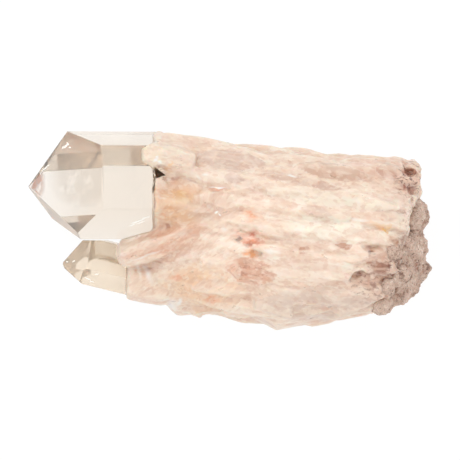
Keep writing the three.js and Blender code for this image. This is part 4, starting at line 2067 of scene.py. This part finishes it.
    def note_colours(self, bundle: bpy.types.Object, slivers: Sequence[Sliver]) -> None:
        """Notes on each vertex the colour of the small crystal that it belongs to.

        Args:
            bundle: The bundle.
            slivers: The small crystals that lie on it.
        """
        places = mesh_arrays(bundle)[0]
        colours = np.ones((len(places), 4), dtype=np.float32)
        shares = np.zeros(len(places), dtype=np.float32)
        for sliver in slivers:
            inverse = np.array(sliver.matrix.inverted())
            local = (places @ inverse[:3, :3].T + inverse[:3, 3]) / MM
            ends = np.maximum(np.abs(local[:, 0]) - 0.5 + self.taper, 0) / self.taper
            reach = self.coloured_half_width * (1 - self.coloured_narrowing * ends)
            inside = np.abs(local[:, 1]) < reach
            inside &= ends < 1
            inside &= np.abs(local[:, 2]) < self.coloured_half_depth
            colours[inside] = paint(*sliver.colour)
            shares[inside] = sliver.strength
        tint = bundle.data.attributes.new("own_colour", "FLOAT_COLOR", "POINT")
        tint.data.foreach_set("color", colours.ravel())
        share = bundle.data.attributes.new("own_share", "FLOAT", "POINT")
        share.data.foreach_set("value", shares)


@dataclass
class ClusterBody:
    """The bundle of milky crystals behind the points."""

    coarse_voxel: float = 0.8
    coarse_evening: int = 5
    facets: int = 5200
    facet_stretch: float = 2.4
    facet_evening: int = 1
    voxel: float = 0.55
    evening: int = 3
    grain_turn: float = GRAIN_TURN
    contact_reach: float = 1.6
    contact_swell: float = 0.8
    broken_from: float = 50
    broken_at: float = 62
    broken_slant: float = 0.25
    pit_reach: float = 7
    pit_floor: float = 14
    pit_spread: float = 1.4
    waves: tuple[Layer, ...] = (
        Layer(Relief.CLOUDS, 0.8, (14, 5, 5), GRAIN_TURN, 2),
        Layer(Relief.CLOUDS, 0.25, (3.0, 1.3, 1.3), GRAIN_TURN, 2),
    )
    breakage: tuple[Layer, ...] = (
        Layer(Relief.CLOUDS, 3.4, (4.5, 4, 4), 0, 2, "broken"),
        Layer(Relief.CELLS, 1.6, (2.4, 2, 2), mask="broken"),
        Layer(Relief.CLOUDS, 2.6, (2.6, 2.0, 2.0), 20, 2, "pitted"),
    )

    def build(
        self, cutters: Sequence[bpy.types.Object], points: Sequence[bpy.types.Object], gap: DarkGap
    ) -> bpy.types.Object:
        """The bundle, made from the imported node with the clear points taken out.

        Args:
            cutters: The solids to take out. They are removed from the scene.
            points: The clear points that the bundle is grown together with.
            gap: The dark gap at the main point's base.

        Returns:
            The bundle, dressed.
        """
        obj = copy_of_node("crystal_cluster", "cluster_body")
        for cutter in cutters:
            cut_out(obj, cutter)
        remesh(obj, self.coarse_voxel)
        even_out(obj, self.coarse_evening)
        small = Slivers()
        slivers = small.grow(obj)
        remesh(obj, self.voxel)
        small.note_colours(obj, slivers)
        even_folds(obj)
        even_out(obj, self.evening)
        roughen(obj, self.waves)
        self.break_up(obj)
        self.facet(obj)
        note_hollows(obj)
        for point in points:
            swell_towards(obj, point, self.contact_reach, self.contact_swell)
        for cutter in cutters:
            cut_out(obj, cutter, "MANIFOLD")
            bpy.data.objects.remove(cutter)
        gap.take_out(obj)
        keep_highest_part(obj)
        smooth_in(obj, MilkyQuartz().make(BODY_PATCHES))
        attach(obj, "root")
        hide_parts("crystal_cluster")
        return obj

    def facet(self, obj: bpy.types.Object) -> None:
        """Flattens the surface into facets that are stretched along the crystals.

        Args:
            obj: The bundle.
        """
        turned = Matrix.Rotation(math.radians(self.grain_turn), 4, "Z")
        squeezed = Matrix.Scale(1 / self.facet_stretch, 4, Vector((1, 0, 0)))
        squeeze = turned @ squeezed @ turned.inverted()
        facets = linked("facets", obj.data.copy())
        facets.data.transform(squeeze)
        share = self.facets / (2 * len(facets.data.polygons))
        apply_modifier(facets, "DECIMATE", decimate_type="COLLAPSE", ratio=share)
        facets.data.transform(squeeze.inverted())
        apply_modifier(obj, "SHRINKWRAP", target=facets, wrap_method="NEAREST_SURFACEPOINT")
        bpy.data.objects.remove(facets)
        even_folds(obj)
        even_out(obj, self.facet_evening)

    def break_up(self, obj: bpy.types.Object) -> None:
        """Roughens the broken root end and the pits' rims.

        Args:
            obj: The bundle.
        """
        places = mesh_arrays(obj)[0] / MM - np.array(SHIFT)
        along = places[:, 0] - self.broken_slant * places[:, 1]
        broken = np.clip((along - self.broken_from) / (self.broken_at - self.broken_from), 0, 1)
        note_group(obj, "broken", broken)
        pitted = np.zeros(len(places))
        for x, y in PITS:
            far = np.hypot(places[:, 0] - x, places[:, 1] - y)
            near = np.clip(self.pit_spread * (1 - far / self.pit_reach), 0, 1)
            pitted = np.maximum(pitted, near * (places[:, 2] > self.pit_floor))
        note_group(obj, "pitted", pitted)
        roughen(obj, self.breakage)
        obj.vertex_groups.clear()


# Crumbs of rock on the quartz: x, y and radius.
CRUMBS = (
    (59.7, -11.5, 3.0),
    (58.3, -16.1, 3.2),
    (61.1, -5.6, 2.8),
    (56.0, -24.4, 3.0),
    (53.0, -26.6, 2.6),
    (63.2, -1.0, 2.6),
    (65.4, 4.2, 2.2),
    (62.4, -19.6, 3.0),
    (58.3, -21.0, 3.0),
    (54.6, -19.6, 1.6),
    (56.4, -8.2, 1.4),
)


@dataclass
class RootRock:
    """The remnant of host rock on the broken root end."""

    voxel: float = 0.32
    evening: int = 3
    crumb_flatness: float = 0.5
    crumb_fineness: int = 3
    crumb_lowest: float = 12
    contact_reach: float = 4.5
    contact_swell: float = 1.4
    relief: tuple[Layer, ...] = (
        Layer(Relief.CLOUDS, 2.4, (4, 4, 4), depth=4),
        Layer(Relief.CELLS, 0.9, (1.6, 1.6, 1.6)),
        Layer(Relief.CLOUDS, 0.4, (0.9, 0.9, 0.9), depth=2),
    )

    def crumbs(self, quartz: bpy.types.Object, rock: bpy.types.Object) -> None:
        """Adds crumbs of rock that cling to the quartz beside the remnant.

        Args:
            quartz: The bundle that they cling to.
            rock: The rock that they are joined to.
        """
        made = []
        for x, y, radius in CRUMBS:
            hit, at, _, _ = quartz.ray_cast(in_row((x, y, SKY_HIGH)), Vector((0, 0, -1)))
            if not hit or at.z < self.crumb_lowest * MM:
                continue
            bpy.ops.object.select_all(action="DESELECT")
            bpy.ops.mesh.primitive_ico_sphere_add(
                subdivisions=self.crumb_fineness, radius=radius * MM
            )
            crumb = bpy.context.object
            flat = Matrix.Scale(self.crumb_flatness, 4, Vector((0, 0, 1)))
            crumb.data.transform(Matrix.Translation(at) @ flat)
            crumb.matrix_world = Matrix.Identity(4)
            made.append(crumb)
        join(rock, made)

    def build(self, quartz: bpy.types.Object) -> bpy.types.Object:
        """The rock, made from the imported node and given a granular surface.

        Args:
            quartz: The bundle that the rock clings to.

        Returns:
            The rock, dressed.
        """
        obj = copy_of_node("matrix_rock", "root_rock")
        self.crumbs(quartz, obj)
        remesh(obj, self.voxel)
        even_out(obj, self.evening)
        swell_towards(obj, quartz, self.contact_reach, self.contact_swell)
        roughen(obj, self.relief)
        note_hollows(obj)
        smooth_in(obj, HostRock().make())
        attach(obj, "root")
        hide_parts("matrix_rock")
        return obj


@dataclass
class Studio:
    """The plain white setting: a bright floor, soft lights and a camera that looks straight down.

    Each light has a name, a place in metres, a side in metres and a power in watts.
    """

    floor_reach: float = 1.6
    floor_shade: float = 0.12
    floor_glow: float = 0.90
    sky: float = 1.0
    sky_colour: tuple[float, float, float, float] = (1, 0.995, 0.985, 1)
    lights: tuple[tuple[str, Triple, float, float], ...] = (
        ("key", (-0.35, 0.45, 0.7), 0.35, 1.6),
        ("fill", (0.5, -0.3, 0.7), 0.5, 0.6),
    )
    lens: float = 200
    sensor: float = 36
    clip: Pair = (0.01, 20)
    frame_width: float = 161
    seen_height: float = 20
    centre: Pair = (0.175, -0.35)

    def build(self) -> None:
        """Makes the floor, the sky, the lights and the camera."""
        self.floor()
        self.world()
        for name, at, size, power in self.lights:
            self.light(name, at, size, power)
        self.camera()
        bpy.context.scene.view_settings.view_transform = "Standard"

    def floor(self) -> None:
        """A white floor that glows a little, so that it shows as plain white."""
        bpy.ops.object.select_all(action="DESELECT")
        bpy.ops.mesh.primitive_plane_add(size=self.floor_reach)
        floor = bpy.context.object
        floor.name = "floor"
        recipe = Recipe("white_floor")
        recipe.settle(
            {
                "Base Color": (self.floor_shade, self.floor_shade, self.floor_shade, 1),
                "Roughness": 1,
                "Specular IOR Level": 0,
                "Emission Color": (1, 1, 1, 1),
                "Emission Strength": self.floor_glow,
            }
        )
        floor.data.materials.append(recipe.material)

    def world(self) -> None:
        """An even white sky."""
        world = bpy.data.worlds.new("sky")
        bpy.context.scene.world = world
        world.use_nodes = True
        background = world.node_tree.nodes["Background"]
        background.inputs["Color"].default_value = self.sky_colour
        background.inputs["Strength"].default_value = self.sky

    def light(self, name: str, at: Triple, size: float, power: float) -> None:
        """A square soft light that faces the piece.

        Args:
            name: The light's name.
            at: Its place in metres.
            size: Its side in metres.
            power: Its power in watts.
        """
        lamp = bpy.data.lights.new(name, "AREA")
        lamp.size = size
        lamp.energy = power
        obj = linked(name, lamp)
        obj.location = at
        obj.rotation_mode = "QUATERNION"
        obj.rotation_quaternion = (-Vector(at)).to_track_quat("-Z", "Y")

    def camera(self) -> None:
        """A long lens straight above the piece, with the points to the left of the picture."""
        data = bpy.data.cameras.new("camera")
        data.lens = self.lens
        data.sensor_width = self.sensor
        camera = linked("camera", data)
        away = self.frame_width * self.lens / self.sensor
        camera.location = in_row((*self.centre, self.seen_height + away))
        data.clip_start, data.clip_end = self.clip
        bpy.context.scene.camera = camera


def report(obj: bpy.types.Object) -> None:
    """Says in the log what a piece came to."""
    LOG.info("%s: %d vertices, %d faces", obj.name, len(obj.data.vertices), len(obj.data.polygons))


def main() -> None:
    """Builds the setting and the pieces in order."""
    logging.basicConfig(level=logging.INFO, format="%(name)s: %(message)s")
    Studio().build()
    gap = DarkGap()
    main_point = ClearPoint(
        "main_point", MainPoint(), (-46, 15, 24), 60, ClearQuartz("clear_quartz"), gap
    )
    milkier = ClearQuartz("clear_second", WARM_WHITE, density=4, milk=0.28)
    second_point = ClearPoint("second_point", SecondPoint(), (-46, -12, 17), 60, milkier)
    points = [main_point.build(), second_point.build()]
    roots = [
        CloudyRoot("main_root", main_point, -26.6).build(),
        CloudyRoot("second_root", second_point, -36.2).build(),
    ]
    insides = [
        *[veil.build() for veil in veils(main_point)],
        Flecks("main_flecks", main_point, MAIN_FLECKS).build(),
        Flecks("second_flecks", second_point, SECOND_FLECKS).build(),
    ]
    cutters = [main_point.cutter(), second_point.cutter()]
    bundle = ClusterBody().build(cutters, points, gap)
    for piece in (*points, *roots, *insides, bundle, RootRock().build(bundle)):
        report(piece)


if __name__ == "__main__":
    main()
